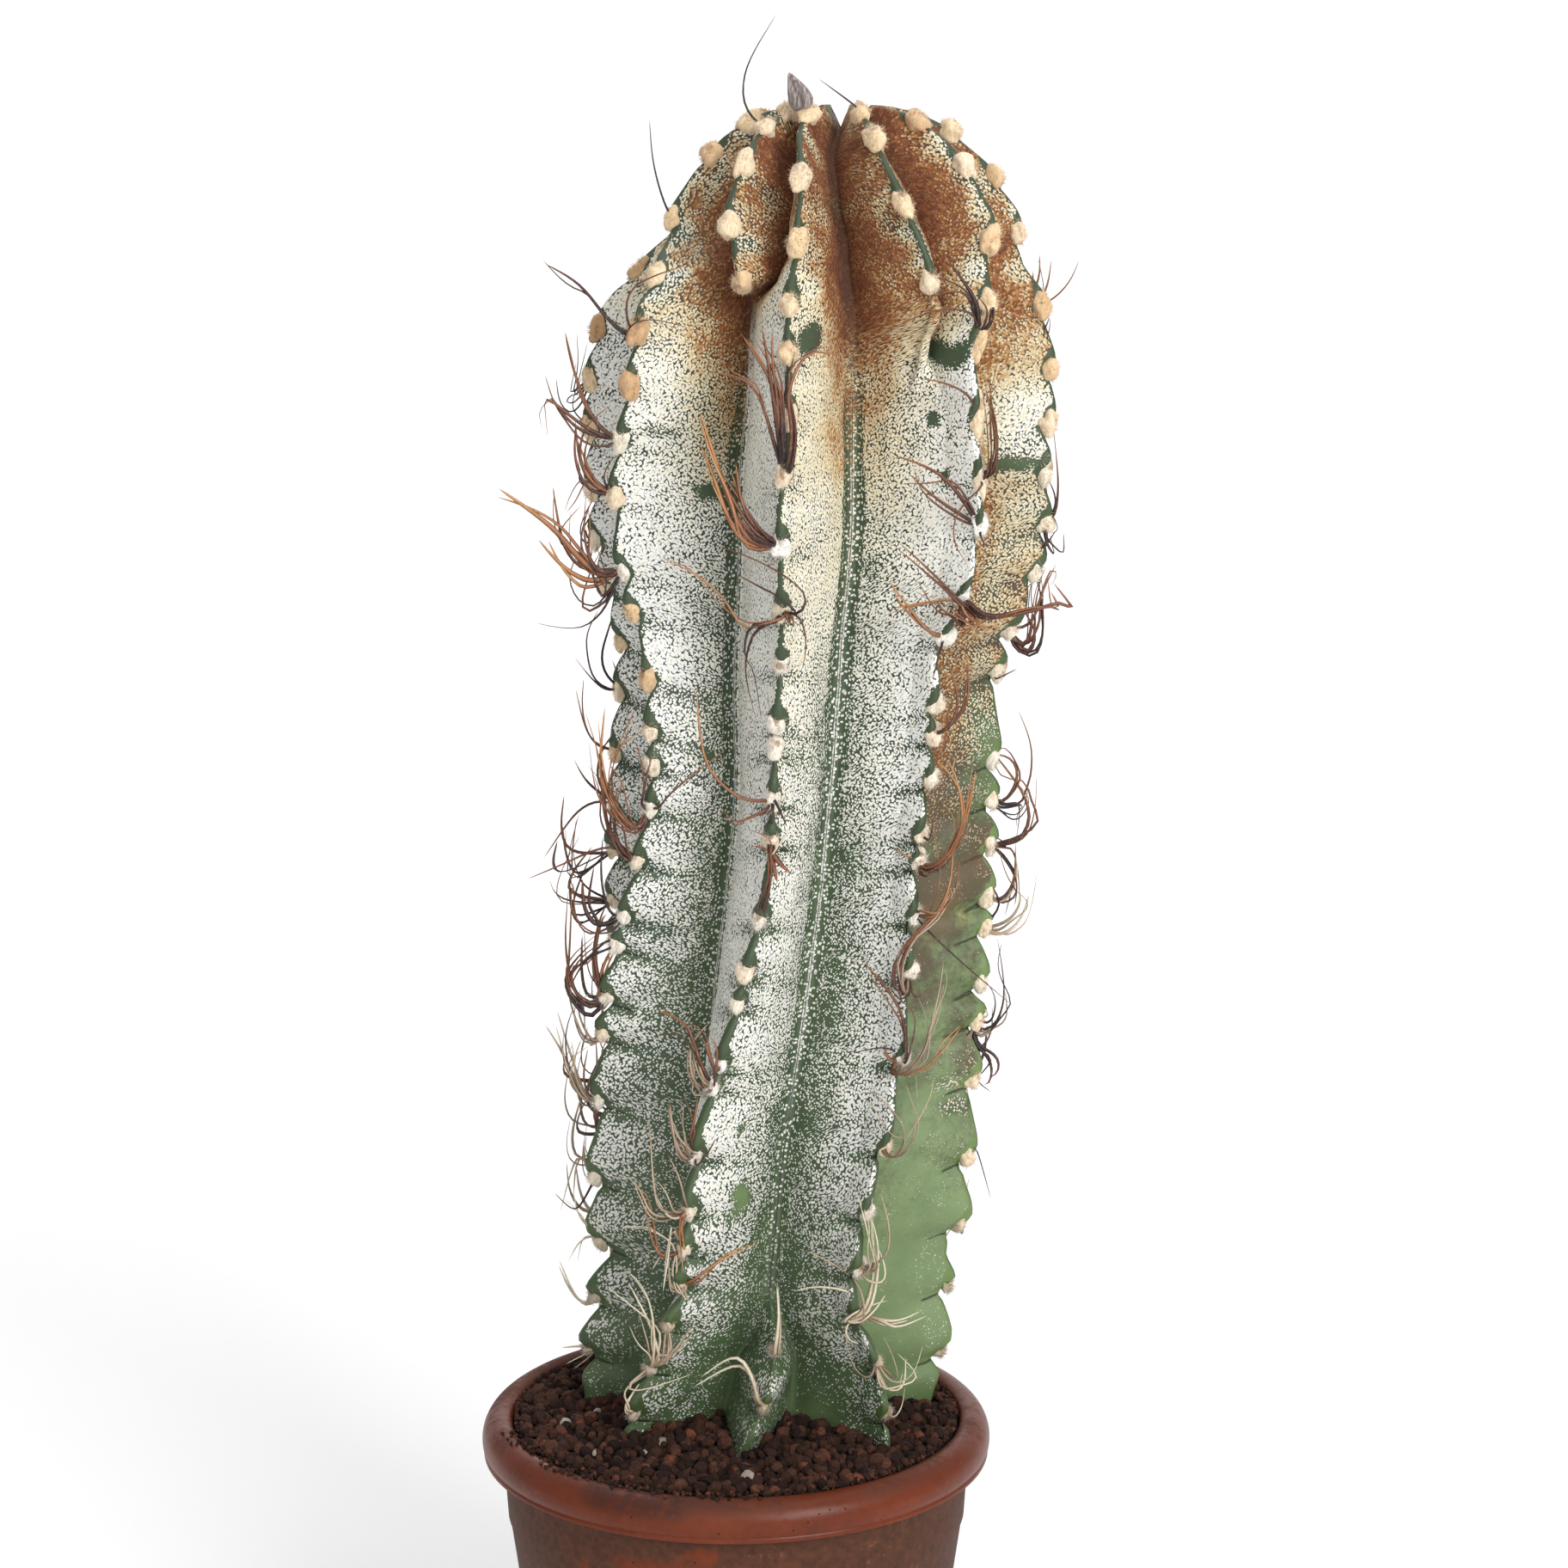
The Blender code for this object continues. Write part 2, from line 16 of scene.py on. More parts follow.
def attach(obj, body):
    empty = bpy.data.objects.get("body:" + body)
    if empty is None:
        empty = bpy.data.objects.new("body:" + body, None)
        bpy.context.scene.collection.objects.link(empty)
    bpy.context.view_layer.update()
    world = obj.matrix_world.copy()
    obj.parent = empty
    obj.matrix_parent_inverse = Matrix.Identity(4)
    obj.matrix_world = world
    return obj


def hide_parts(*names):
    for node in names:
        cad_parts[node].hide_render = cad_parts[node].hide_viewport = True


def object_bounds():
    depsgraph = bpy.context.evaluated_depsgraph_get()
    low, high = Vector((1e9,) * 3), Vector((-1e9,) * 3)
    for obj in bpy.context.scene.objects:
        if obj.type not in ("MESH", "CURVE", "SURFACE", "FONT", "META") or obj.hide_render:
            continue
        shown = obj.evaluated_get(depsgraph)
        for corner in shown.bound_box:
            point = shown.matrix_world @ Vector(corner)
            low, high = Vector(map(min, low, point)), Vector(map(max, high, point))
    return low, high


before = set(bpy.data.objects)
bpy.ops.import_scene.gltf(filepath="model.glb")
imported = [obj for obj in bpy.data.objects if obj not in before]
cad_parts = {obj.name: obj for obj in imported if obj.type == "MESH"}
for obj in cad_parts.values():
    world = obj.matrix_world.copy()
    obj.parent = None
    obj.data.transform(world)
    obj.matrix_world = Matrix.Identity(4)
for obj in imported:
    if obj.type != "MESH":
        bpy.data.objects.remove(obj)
cad_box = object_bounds()

MM = 0.001
DRAW = 41

# The pot and its grit, as in the solids
RIM_RADIUS, RIM_HEIGHT, RIM_MOUTH = 90, 14, 79
POT_HEIGHT, WALL, FLOOR = 144, 3, 4
NECK_RADIUS, BASE_RADIUS = 83, 66
DRAINS, DRAIN_RADIUS, DRAIN_CIRCLE = 6, 4.5, 42
POT_SIDES = 180
CLEAN_PATCH, SMEAR = 22, 32
SOIL_LEVEL, HEAP = 142, 6

# The stem, in mm, as in the solids
AXIS_X = (
    (0, 8), (75, 15), (140, 18), (200, 22), (260, 25), (305, 29), (380, 30), (403, 33), (421, 37), (458, 36),
)
AXIS_Y = ((0, 8), (120, 12), (458, 12))
CREST_REACH = (
    (-85, 3), (-72, 9), (-50, 22), (-28, 42), (-12, 56), (0, 62), (28, 65), (46, 64), (56, 61), (70, 67),
    (138, 68), (200, 68), (262, 66), (278, 67), (292, 73), (310, 78), (335, 80), (366, 80), (385, 77),
    (396, 73), (405, 65), (413, 61), (424, 58), (436, 50), (450, 37), (460, 25), (469, 15), (476, 7),
)
VALLEY_REACH = (
    (-85, 2), (-72, 6), (-50, 17), (-28, 23), (0, 28), (60, 30), (140, 34), (200, 36), (300, 38), (352, 38),
    (396, 36), (413, 32), (436, 27), (450, 21), (460, 15), (469, 10), (476, 6),
)
CREST_RISE = ((-85, -85), (0, 0), (424, 424), (436, 437), (450, 450), (460, 456), (469, 458), (476, 454))
VALLEY_RISE = ((-85, -85), (0, 0), (405, 405), (424, 421), (436, 431), (450, 440), (460, 445), (476, 450))
STEM_TOP = 452
CRESTS = {
    "back_left": ((0, -164), (60, -164), (150, -154), (230, -143), (396, -143), (440, -160)),
    "left_back": ((0, -126), (60, -126), (150, -113), (230, -95), (300, -92), (396, -95), (440, -122)),
    "left": ((0, -86), (60, -87), (110, -79), (160, -71), (208, -56), (235, -51), (270, -57), (332, -61),
             (370, -54), (387, -55), (404, -64), (421, -81), (440, -87)),
    "upper_left": ((385, -24), (403, -28), (421, -41), (440, -46), (460, -53)),
    "front": ((0, -50), (32, -40), (65, -31), (110, -27), (165, -16), (220, -9), (330, -10), (363, -8),
              (398, -11), (417, -15), (440, -18), (461, -29), (472, -31)),
    "low_front": ((0, -7), (22, 0), (40, 4), (60, 6)),
    "upper_right": ((390, 30), (404, 29), (428, 20), (450, 16), (460, 16)),
    "right_front": ((0, 48), (35, 36), (71, 25), (91, 26), (112, 31), (145, 35), (215, 36), (245, 40),
                    (264, 40), (288, 37), (325, 41), (362, 39), (386, 41), (398, 47), (416, 55), (440, 59)),
    "right": ((0, 93), (60, 89), (92, 84), (150, 87), (262, 89), (286, 80), (322, 77), (340, 71),
              (374, 79), (395, 79), (416, 85), (440, 90)),
    "right_back": ((0, 128), (230, 130), (396, 130), (440, 125)),
    "back": ((0, 163), (60, 160), (230, 172), (396, 172), (440, 161)),
}
RIBS = list(CRESTS)
PRESENCE = {
    "upper_left": ((396, 0), (404, 0.9), (412, 1)),
    "upper_right": ((366, 0), (386, 0.45), (400, 0.9), (412, 1)),
    "low_front": ((0, 1), (30, 0.95), (52, 0)),
}
LOW_FRONT_REACH, LOW_FRONT_SHARP = 0.95, 0.6
LEFT_VALLEY_SKEW = ((100, 0), (200, -8), (300, -11), (390, -10))
FRONT_VALLEY_SKEW = ((390, 0), (430, -8), (452, -6), (470, 0))
PINCH_TURN = 3.0
FORK_CREST, FORK_VALLEY = 0.45, 0.72
FULL_FLANK = 32
FLANK_SWELL = ((0, 1), (60, 2), (300, 1.5), (385, 2.5), (410, 5), (440, 6), (470, 1))

# Areoles, in mm up each rib, as in the solids
AREOLES = {
    "left": (23, 42, 62, 87, 117, 142, 156, 176, 187, 208, 227, 242, 253, 270, 293, 307, 332, 351, 370, 387,
             404, 421, 442, 455),
    "upper_left": (403, 421, 440, 453, 463),
    "front": (14, 32, 48, 63, 77, 91, 111, 136, 144, 165, 176, 194, 221, 235, 252, 260, 280, 299, 321, 344,
              363, 383, 398, 417, 436, 461),
    "low_front": (22, 38),
    "upper_right": (404, 428, 449, 462),
    "right_front": (15, 35, 53, 71, 91, 113, 144, 174, 193, 212, 221, 239, 254, 264, 288, 302, 325, 342,
                    362, 387, 397, 416, 439, 456),
    "right": (20, 45, 68, 94, 122, 143, 156, 176, 187, 205, 221, 236, 267, 282, 303, 320, 339, 354, 372, 393,
              416, 434, 450),
}
AREOLE_STEP = ((0, 15), (90, 16), (200, 19), (320, 21), (400, 18), (460, 19))
STEP_JITTER = 0.2
FIRST_AREOLE, LAST_AREOLE = 13, 462

# The fine skin: rows up the stem, columns over each rib's two flanks and its rounded crest
SKIN_FOOT, SKIN_TOP, ROW_STEP = -16, 476, 2.2
FLANK_STEPS, CAP_STEPS = 17, 4
YOUNG_FLANK_STEPS = 9
CREST_HALF = ((0, 2.4), (150, 2.1), (300, 1.8), (420, 1.5), (476, 1.2))
NOTCH_DEPTH = ((0, 4.5), (60, 5), (150, 4.4), (250, 3.6), (330, 3.0), (400, 2.6), (430, 1.6), (476, 0.6))
NOTCH_BELOW, NOTCH_ABOVE = 2.5, 3.5
NOTCH_BIAS = 0.6
FIRST_STEP = 16
FURROW_DEPTH = ((0, 1.8), (150, 1.9), (260, 1.4), (400, 0.5), (476, 0.2))
FURROW_LENGTH, FURROW_WIDTH, FURROW_FALL, FURROW_DROP = 17, 2.2, 0.2, 3.2
CREASE_WIDTH = 1.7
LUMP, SMALL_LUMP, WAVER = 0.9, 0.35, 0.7
BARE_FURROW = ((0, 0.85), (220, 0.85), (300, 0.5), (400, 0.3), (476, 0.1))

# Deep creases: rib, flank, height, length across the flank, depth, and how far they fall over their length
CREASES = (
    ("right", -1, 264, 20, 1.2, 3), ("right", -1, 218, 34, 1.8, 3), ("right", -1, 184, 34, 1.8, 5),
    ("right", -1, 153, 36, 2.0, -6), ("right", -1, 140, 26, 1.5, 4), ("right", -1, 90, 34, 2.0, -10),
    ("left", 1, 226, 30, 1.3, 6), ("left", 1, 184, 34, 1.2, 8), ("left", 1, 128, 30, 1.2, 6),
    ("right_front", -1, 232, 28, 1.3, 10), ("right_front", -1, 200, 26, 1.2, 10),
    ("right_front", -1, 150, 24, 1.2, 8), ("right_front", -1, 84, 36, 2.0, -6), ("front", 1, 84, 30, 1.2, -4),
    ("left_back", 1, 243, 20, 1.2, 4),
)

# How each flank is flecked: cover and tint near the crest and near the valley, how ripe the skin is, and how
# wide the green strip beside the valley is in mm, by height
PLAIN_FLANK = {
    "near": ((0, 0.25), (25, 0.5), (120, 0.72), (300, 0.86), (395, 0.8), (425, 0.7), (476, 0.85)),
    "far": ((0, 0.05), (60, 0.3), (200, 0.42), (350, 0.5), (400, 0.8), (476, 0.95)),
    "near_tint": ((0, 0.05), (300, 0.03), (375, 0.12), (405, 0.48), (440, 0.55), (476, 0.65)),
    "far_tint": ((0, 0.06), (250, 0.06), (345, 0.25), (385, 0.6), (410, 0.85), (476, 0.85)),
    "ripe": ((0, 0.5), (40, 0.45), (120, 0.4), (300, 0.25), (400, 0.15), (476, 0.1)),
    "strip": ((0, 4), (120, 4.5), (300, 6), (380, 4), (400, 2)),
}
FLANKS = {
    ("left_back", 1): {
        "near": ((0, 0.3), (80, 0.55), (230, 0.7), (300, 0.95), (400, 0.95), (476, 0.8)),
        "far": ((0, 0.2), (230, 0.4), (300, 0.9), (390, 0.9), (476, 0.9)),
        "near_tint": ((0, 0.04), (380, 0.04), (400, 0.3), (476, 0.7)),
        "far_tint": ((0, 0.04), (380, 0.1), (400, 0.6), (476, 0.8)),
    },
    ("left", 1): {
        "near": ((0, 0.1), (40, 0.45), (120, 0.6), (250, 0.8), (300, 0.95), (360, 0.97), (395, 0.75),
                 (476, 0.8)),
        "far_tint": ((0, 0.04), (320, 0.08), (350, 0.34), (380, 0.6), (398, 0.85), (476, 0.85)),
        "strip": ((0, 4), (120, 4.5), (330, 6), (385, 5), (400, 2)),
    },
    ("front", -1): {
        "near": ((0, 0.3), (60, 0.85), (200, 0.95), (400, 0.97), (476, 0.8)),
        "far": ((0, 0.2), (60, 0.7), (200, 0.85), (385, 0.95), (476, 0.95)),
        "near_tint": ((0, 0.04), (390, 0.08), (410, 0.5), (476, 0.6)),
        "far_tint": ((0, 0.05), (385, 0.12), (402, 0.8), (476, 0.88)),
        "strip": ((0, 2), (120, 1.5), (476, 1.2)),
    },
    ("front", 1): {
        "near": ((0, 0.3), (40, 0.6), (110, 0.9), (180, 0.75), (290, 0.9), (395, 0.97), (430, 0.7),
                 (476, 0.9)),
        "far": ((0, 0.05), (60, 0.3), (130, 0.5), (270, 0.5), (300, 0.9), (400, 0.95), (476, 0.95)),
        "near_tint": ((0, 0.05), (200, 0.08), (290, 0.2), (385, 0.3), (410, 0.5), (440, 0.58), (476, 0.65)),
        "far_tint": ((0, 0.06), (240, 0.08), (290, 0.18), (345, 0.36), (385, 0.66), (410, 0.85), (476, 0.85)),
        "strip": ((0, 4), (120, 5), (200, 7), (340, 7), (380, 5), (400, 3)),
    },
    ("right_front", -1): {
        "near": ((0, 0.25), (30, 0.45), (120, 0.7), (230, 0.9), (300, 0.97), (375, 0.97), (400, 0.8),
                 (476, 0.9)),
        "far": ((0, 0.05), (60, 0.3), (200, 0.45), (300, 0.55), (370, 0.7), (400, 0.8), (476, 0.95)),
        "far_tint": ((0, 0.04), (300, 0.1), (345, 0.28), (372, 0.52), (400, 0.82), (476, 0.85)),
        "strip": ((0, 4), (120, 4.5), (340, 5), (380, 4), (400, 2)),
        "near_tint": ((0, 0.03), (378, 0.03), (400, 0.38), (416, 0.5), (476, 0.62)),
    },
    ("right", -1): {
        "near": ((0, 0.1), (80, 0.1), (192, 0.04), (222, 0.3), (277, 0.62), (328, 0.8), (355, 0.97),
                 (390, 0.85), (476, 0.9)),
        "far": ((0, 0.1), (192, 0.03), (222, 0.3), (277, 0.7), (337, 0.85), (476, 0.95)),
        "near_tint": ((0, 0.15), (205, 0.38), (247, 0.34), (287, 0.42), (332, 0.4), (347, 0.12), (362, 0.15),
                      (376, 0.45), (390, 0.55), (476, 0.8)),
        "far_tint": ((0, 0.15), (205, 0.45), (277, 0.68), (327, 0.72), (350, 0.68), (372, 0.72), (410, 0.78),
                     (476, 0.85)),
        "ripe": ((0, 0.8), (60, 0.9), (202, 0.95), (227, 0.7), (277, 0.45), (400, 0.2), (476, 0.15)),
        "strip": ((0, 1.5), (476, 1)),
    },
}

# Patches on a flank: rib, flank, height, distance from the crest, half height, half width, then cover and
# ripeness
PATCHES = (
    ("right_front", -1, 381, 16, 4.4, 13, 0, 0.2), ("right_front", -1, 359, 19, 2.6, 2.6, 0, 0.2),
    ("right_front", -1, 340, 15, 3.2, 1.8, 0, 0.2), ("left", 1, 332, 33, 3.6, 4.5, 0, 0.25),
    ("left", 1, 354, 12, 1.1, 11, 0, 0.2), ("front", 1, 91, 23, 6, 5.5, 0, 0.85),
    ("front", 1, 386, 13, 4.5, 7, 0, 0.3), ("right", -1, 181, 18, 8, 10, 0, 1.2),
    ("right", -1, 341, 12, 3.5, 9, 0, 0.4), ("left", 1, 243, 22, 1.8, 2, 0.1, 0.4),
    ("front", 1, 117, 20, 1.8, 2.2, 0, 0.6), ("right_front", -1, 398, 24, 4, 8, 0.2, 0.2),
    ("right", -1, 113, 6, 3, 8, 0.4, 0.45), ("right", -1, 122, 8, 2.2, 8, 0.4, 0.8),
)
PATCH_EDGE = 0.45

# The green edge along every crest, and the deeper patch beside every areole
EDGE_BAND = ((0, 2.0), (200, 1.4), (300, 1.1), (400, 1.1), (476, 1.0))
FRONT_EDGE_BAND = ((0, 2.4), (150, 2.0), (200, 1.4), (300, 0.8), (400, 0.8), (476, 0.9))
AREOLE_PATCH = ((0, 6), (100, 6), (150, 5), (250, 5), (400, 4.6), (476, 2.5))
AREOLE_PATCH_HALF = 5.5
AREOLE_PATCH_DROP = -1.5

# Fleck pitch in mm across and along the arcs that they lie on, and the dashes in the valleys
FLECK_ACROSS = ((0, 0.98), (100, 0.88), (200, 0.8), (300, 0.78), (380, 0.76), (430, 0.82))
FLECK_ALONG = ((0, 1.28), (100, 1.12), (200, 1.0), (300, 0.96), (380, 0.92), (430, 0.98))
DASH_ACROSS, DASH_ALONG = 1.3, 1.5
VALLEY_LINES = 7.5
PLAIN_STRIP = (6.0, 8.5)
STRIP_UNITS = 8

# Where the rust at the top begins and is full, in mm
TOP_RUST = (385, 415)

# What the skin's material reads on its vertices
SKIN_VALUES = ("cover", "tint", "ripe", "crest", "apart", "valley", "inside", "groove", "fold", "foldside")


def tone(red, green, blue):
    """A display colour of 0 to 255 as the linear colour that shaders take."""
    parts = [part / 255 for part in (red, green, blue)]
    return (*(part / 12.92 if part <= 0.04045 else ((part + 0.055) / 1.055) ** 2.4 for part in parts), 1)


def through(stations, place):
    """The smooth curve through (place, value) stations, never past their values and level past its ends."""
    x, y = np.array(stations, float).T
    rise, slope = np.diff(y) / np.diff(x), np.gradient(y, x)
    steepest = 3 * np.minimum(np.abs(rise[1:]), np.abs(rise[:-1])) * (rise[1:] * rise[:-1] > 0)
    slope[1:-1] = np.clip(slope[1:-1], -steepest, steepest)
    place = np.clip(np.asarray(place, float), x[0], x[-1])
    k = np.clip(np.searchsorted(x, place) - 1, 0, len(x) - 2)
    span = x[k + 1] - x[k]
    s = (place - x[k]) / span
    return (
        (2 * s**3 - 3 * s**2 + 1) * y[k]
        + (s**3 - 2 * s**2 + s) * slope[k] * span
        + (3 * s**2 - 2 * s**3) * y[k + 1]
        + (s**3 - s**2) * slope[k + 1] * span
    )


def straight(stations, place):
    """The broken line through (place, value) stations, level past its ends."""
    x, y = np.array(stations, float).T
    return np.interp(place, x, y)


def eased(value, low, high):
    """0 up to low, 1 from high, and a smooth rise between."""
    share = np.clip((value - low) / (high - low), 0, 1)
    return share * share * (3 - 2 * share)


def polar(turn, reach):
    """Points at a turn in degrees and a reach from the axis."""
    angle = np.radians(turn)
    return np.stack([reach * np.sin(angle), -reach * np.cos(angle)], -1)


def blend(a, b, share):
    return a + (b - a) * share[:, None]


def across(line):
    """The line's unit perpendicular, to its right as seen from above."""
    length = np.linalg.norm(line, axis=-1, keepdims=True)
    return np.stack([line[..., 1], -line[..., 0]], -1) / np.maximum(length, 1e-9)


def stem_lines(height):
    """Crest points, the valley points after each, and how far each rib is there, round the axis by height."""
    reach, depth = straight(CREST_REACH, height), straight(VALLEY_REACH, height)
    turn = {rib: through(stations, height) for rib, stations in CRESTS.items()}
    there = {rib: straight(stations, height) for rib, stations in PRESENCE.items()}
    crest = {rib: polar(turn[rib], reach) for rib in CRESTS}

    middle = (turn["left"] + turn["front"]) / 2 + straight(LEFT_VALLEY_SKEW, height)
    share = there["upper_left"]
    crest["upper_left"] = blend(polar(middle, depth), crest["upper_left"], share)
    valley = {}
    valley["left"] = blend(
        polar(middle - PINCH_TURN, depth), polar((turn["left"] + turn["upper_left"]) / 2, depth), share
    )
    valley["upper_left"] = blend(
        polar(middle + PINCH_TURN, depth), polar((turn["upper_left"] + turn["front"]) / 2, depth), share
    )

    share, fork = there["low_front"], there["upper_right"]
    beside = turn["right_front"] + (turn["upper_right"] - turn["right_front"]) * fork
    middle = (turn["front"] + beside) / 2 + straight(FRONT_VALLEY_SKEW, height)
    crest["low_front"] = blend(polar(middle, depth), polar(turn["low_front"], reach * LOW_FRONT_REACH), share)
    valley["front"] = blend(
        polar(middle - PINCH_TURN, depth), polar((turn["front"] + turn["low_front"]) / 2, depth), share
    )
    valley["low_front"] = blend(
        polar(middle + PINCH_TURN, depth), polar((turn["low_front"] + turn["right_front"]) / 2, depth), share
    )
    flank = crest["right_front"] - valley["low_front"]
    crest["upper_right"] = blend(valley["low_front"] + flank * FORK_CREST, crest["upper_right"], fork)
    valley["upper_right"] = blend(
        valley["low_front"] + flank * FORK_VALLEY,
        polar((turn["upper_right"] + turn["right_front"]) / 2, depth * 1.1),
        fork,
    )

    for rib, following in zip(RIBS, RIBS[1:] + RIBS[:1]):
        if rib not in valley:
            ahead = turn[following] + (360 if rib == RIBS[-1] else 0)
            valley[rib] = polar((turn[rib] + ahead) / 2, depth)
    return [crest[rib] for rib in RIBS], [valley[rib] for rib in RIBS], [there.get(rib, 1) for rib in RIBS]


def areole_heights(rib):
    """Heights in mm of the areoles up a rib, as in the solids."""
    if rib in AREOLES:
        return AREOLES[rib]
    draw = random.Random(DRAW + 7 * RIBS.index(rib))
    height = FIRST_AREOLE + draw.uniform(0, 8)
    found = []
    while height < LAST_AREOLE:
        found.append(height)
        height += float(straight(AREOLE_STEP, height)) * draw.uniform(1 - STEP_JITTER, 1 + STEP_JITTER)
    return found


def nearest_areole(rib, height):
    """Height above the nearest areole of a rib, in mm, negative below it."""
    places = np.array(areole_heights(rib), float)
    apart = np.asarray(height, float)[..., None] - places
    nearest = np.abs(apart).argmin(-1)
    return np.take_along_axis(apart, nearest[..., None], -1)[..., 0]


def between_areoles(rib, height):
    """Height above the last areole below, and the height from that one to the next, in mm."""
    places = np.array(areole_heights(rib), float)
    steps = FIRST_STEP * np.array((1, 2))
    places = np.concatenate([places[0] - steps[::-1], places, places[-1] + steps])
    k = np.clip(np.searchsorted(places, height, side="right") - 1, 0, len(places) - 2)
    return height - places[k], places[k + 1] - places[k]


def notched(rib, height):
    """How far a crest stands out of its line in mm, most just above an areole and least just below it."""
    above, gap = between_areoles(rib, height)
    out = eased(above, -NOTCH_BELOW, NOTCH_ABOVE)
    drawn_in = eased(above, NOTCH_ABOVE, np.maximum(gap - NOTCH_BELOW, NOTCH_ABOVE + 1))
    following = eased(above - gap, -NOTCH_BELOW, NOTCH_ABOVE)
    return straight(NOTCH_DEPTH, height) * (out - drawn_in + following - NOTCH_BIAS) * eased(height, 3, 20)


def axis_at(height):
    return np.stack([through(AXIS_X, height), through(AXIS_Y, height)], -1)


def crest_place(rib, height):
    """A point on a rib's crest in metres, and the ways out of the rib, sideways along +turn, and up it."""
    at = np.array([height - 2.0, height, height + 2.0])
    crests, valleys, _ = stem_lines(at)
    k = RIBS.index(rib)
    middle = (valleys[k - 1] + valleys[k]) / 2
    away = crests[k] - middle
    away /= np.maximum(np.linalg.norm(away, axis=-1, keepdims=True), 1e-6)
    flat = crests[k] + away * notched(rib, np.full(3, height))[:, None] + axis_at(at)
    low, centre, high = (
        Vector((x * MM, y * MM, (SOIL_LEVEL + z) * MM)) for (x, y), z in zip(flat, straight(CREST_RISE, at))
    )
    up = (high - low).normalized()
    out = Vector((*away[1], 0))
    out = (out - up * out.dot(up)).normalized()
    return centre, out, up.cross(out) * -1, up


# Making pieces

def clear_selection():
    if bpy.context.object and bpy.context.object.mode != "OBJECT":
        bpy.ops.object.mode_set(mode="OBJECT")
    bpy.ops.object.select_all(action="DESELECT")


def named(name):
    """The piece that an operator has just added, under its name."""
    made = bpy.context.object
    made.name = made.data.name = name
    return made


def points_of(mesh):
    points = np.empty(len(mesh.vertices) * 3, np.float32)
    mesh.vertices.foreach_get("co", points)
    return points.reshape(-1, 3).astype(float)


def move_points(mesh, points):
    mesh.vertices.foreach_set("co", np.asarray(points, np.float32).ravel())
    mesh.update()


def put_values(mesh, name, values):
    """A named number on every vertex."""
    held = mesh.attributes.new(name, "FLOAT", "POINT")
    held.data.foreach_set("value", np.asarray(values, np.float32).ravel())


def drift(points, size, seed=0):
    """Smooth noise from -1 to 1 at points, in patches of a size."""
    shift = Vector((seed * 17.3, seed * 5.1, seed * 9.7))
    return np.array([noise.noise(Vector(point) / size + shift) for point in points.reshape(-1, 3)]).reshape(
        points.shape[:-1]
    )


def in_edit_mode(work):
    """Runs edit-mode operators on all of the active piece."""
    bpy.ops.object.mode_set(mode="EDIT")
    bpy.ops.mesh.select_all(action="SELECT")
    work()
    bpy.ops.object.mode_set(mode="OBJECT")


def close_up():
    bpy.ops.mesh.remove_doubles(threshold=0.00001)
    bpy.ops.mesh.normals_make_consistent(inside=False)


def copies(name, template, placed, values=()):
    """One piece of copies of a template's mesh: placed holds their points, values their named numbers."""
    count, each = len(placed), len(template.vertices)
    loops = np.empty(len(template.loops), np.int32)
    template.loops.foreach_get("vertex_index", loops)
    sizes = np.empty(len(template.polygons), np.int32)
    template.polygons.foreach_get("loop_total", sizes)
    starts = np.concatenate([[0], np.cumsum(np.tile(sizes, count))[:-1]])
    mesh = bpy.data.meshes.new(name)
    mesh.vertices.add(count * each)
    mesh.vertices.foreach_set("co", np.asarray(placed, np.float32).ravel())
    mesh.loops.add(count * len(loops))
    corners = np.tile(loops, (count, 1)) + np.arange(count)[:, None] * each
    mesh.loops.foreach_set("vertex_index", corners.ravel())
    mesh.polygons.add(count * len(sizes))
    mesh.polygons.foreach_set("loop_start", starts.astype(np.int32))
    mesh.update(calc_edges=True)
    for label, numbers in dict(values).items():
        put_values(mesh, label, numbers)
    made = bpy.data.objects.new(name, mesh)
    bpy.context.scene.collection.objects.link(made)
    return made


def taken(piece):
    """The mesh of a piece that was only made to be copied; the piece is removed."""
    mesh = piece.data
    bpy.data.objects.remove(piece)
    return mesh


def finished(piece, material, node=None, smooth=None):
    """The piece gets its material, its shading and its body, and the node that it stands for is hidden."""
    piece.data.materials.clear()
    piece.data.materials.append(material)
    piece.data.shade_smooth()
    if smooth:
        piece.data.set_sharp_from_angle(angle=math.radians(smooth))
    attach(piece, "root")
    if node:
        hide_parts(node)
    return piece


# Materials

class Wire:
    """An output of a material's nodes. Arithmetic on it adds the node that does the sum."""

    def __init__(self, tree, socket):
        self.tree, self.socket = tree, socket

    def sum(self, operation, *values):
        vectors = any(isinstance(v, Wire) and v.socket.type != "VALUE" for v in values)
        made = self.tree.nodes.new("ShaderNodeVectorMath" if vectors else "ShaderNodeMath")
        made.operation = operation
        for socket, value in zip(made.inputs, values):
            join(self.tree, socket, value)
        return Wire(self.tree, made.outputs[0])

    def __add__(self, other):
        return self.sum("ADD", self, other)

    def __sub__(self, other):
        return self.sum("SUBTRACT", self, other)

    def __mul__(self, other):
        return self.sum("MULTIPLY", self, other)

    def __truediv__(self, other):
        return self.sum("DIVIDE", self, other)

    def __rsub__(self, other):
        return self.sum("SUBTRACT", other, self)

    __radd__, __rmul__ = __add__, __mul__

    def most(self, other):
        return self.sum("MAXIMUM", self, other)

    def size(self):
        return self.sum("ABSOLUTE", self)

    def other(self, name):
        """Another output of the same node."""
        return Wire(self.tree, self.socket.node.outputs[name])


def join(tree, socket, value):
    """Sets a socket to a number, a vector or a colour, or links a wire to it."""
    if isinstance(value, Wire):
        tree.links.new(value.socket, socket)
    elif isinstance(value, (int, float)) and socket.type in ("VECTOR", "RGBA"):
        socket.default_value = [value] * len(socket.default_value)
    else:
        socket.default_value = value


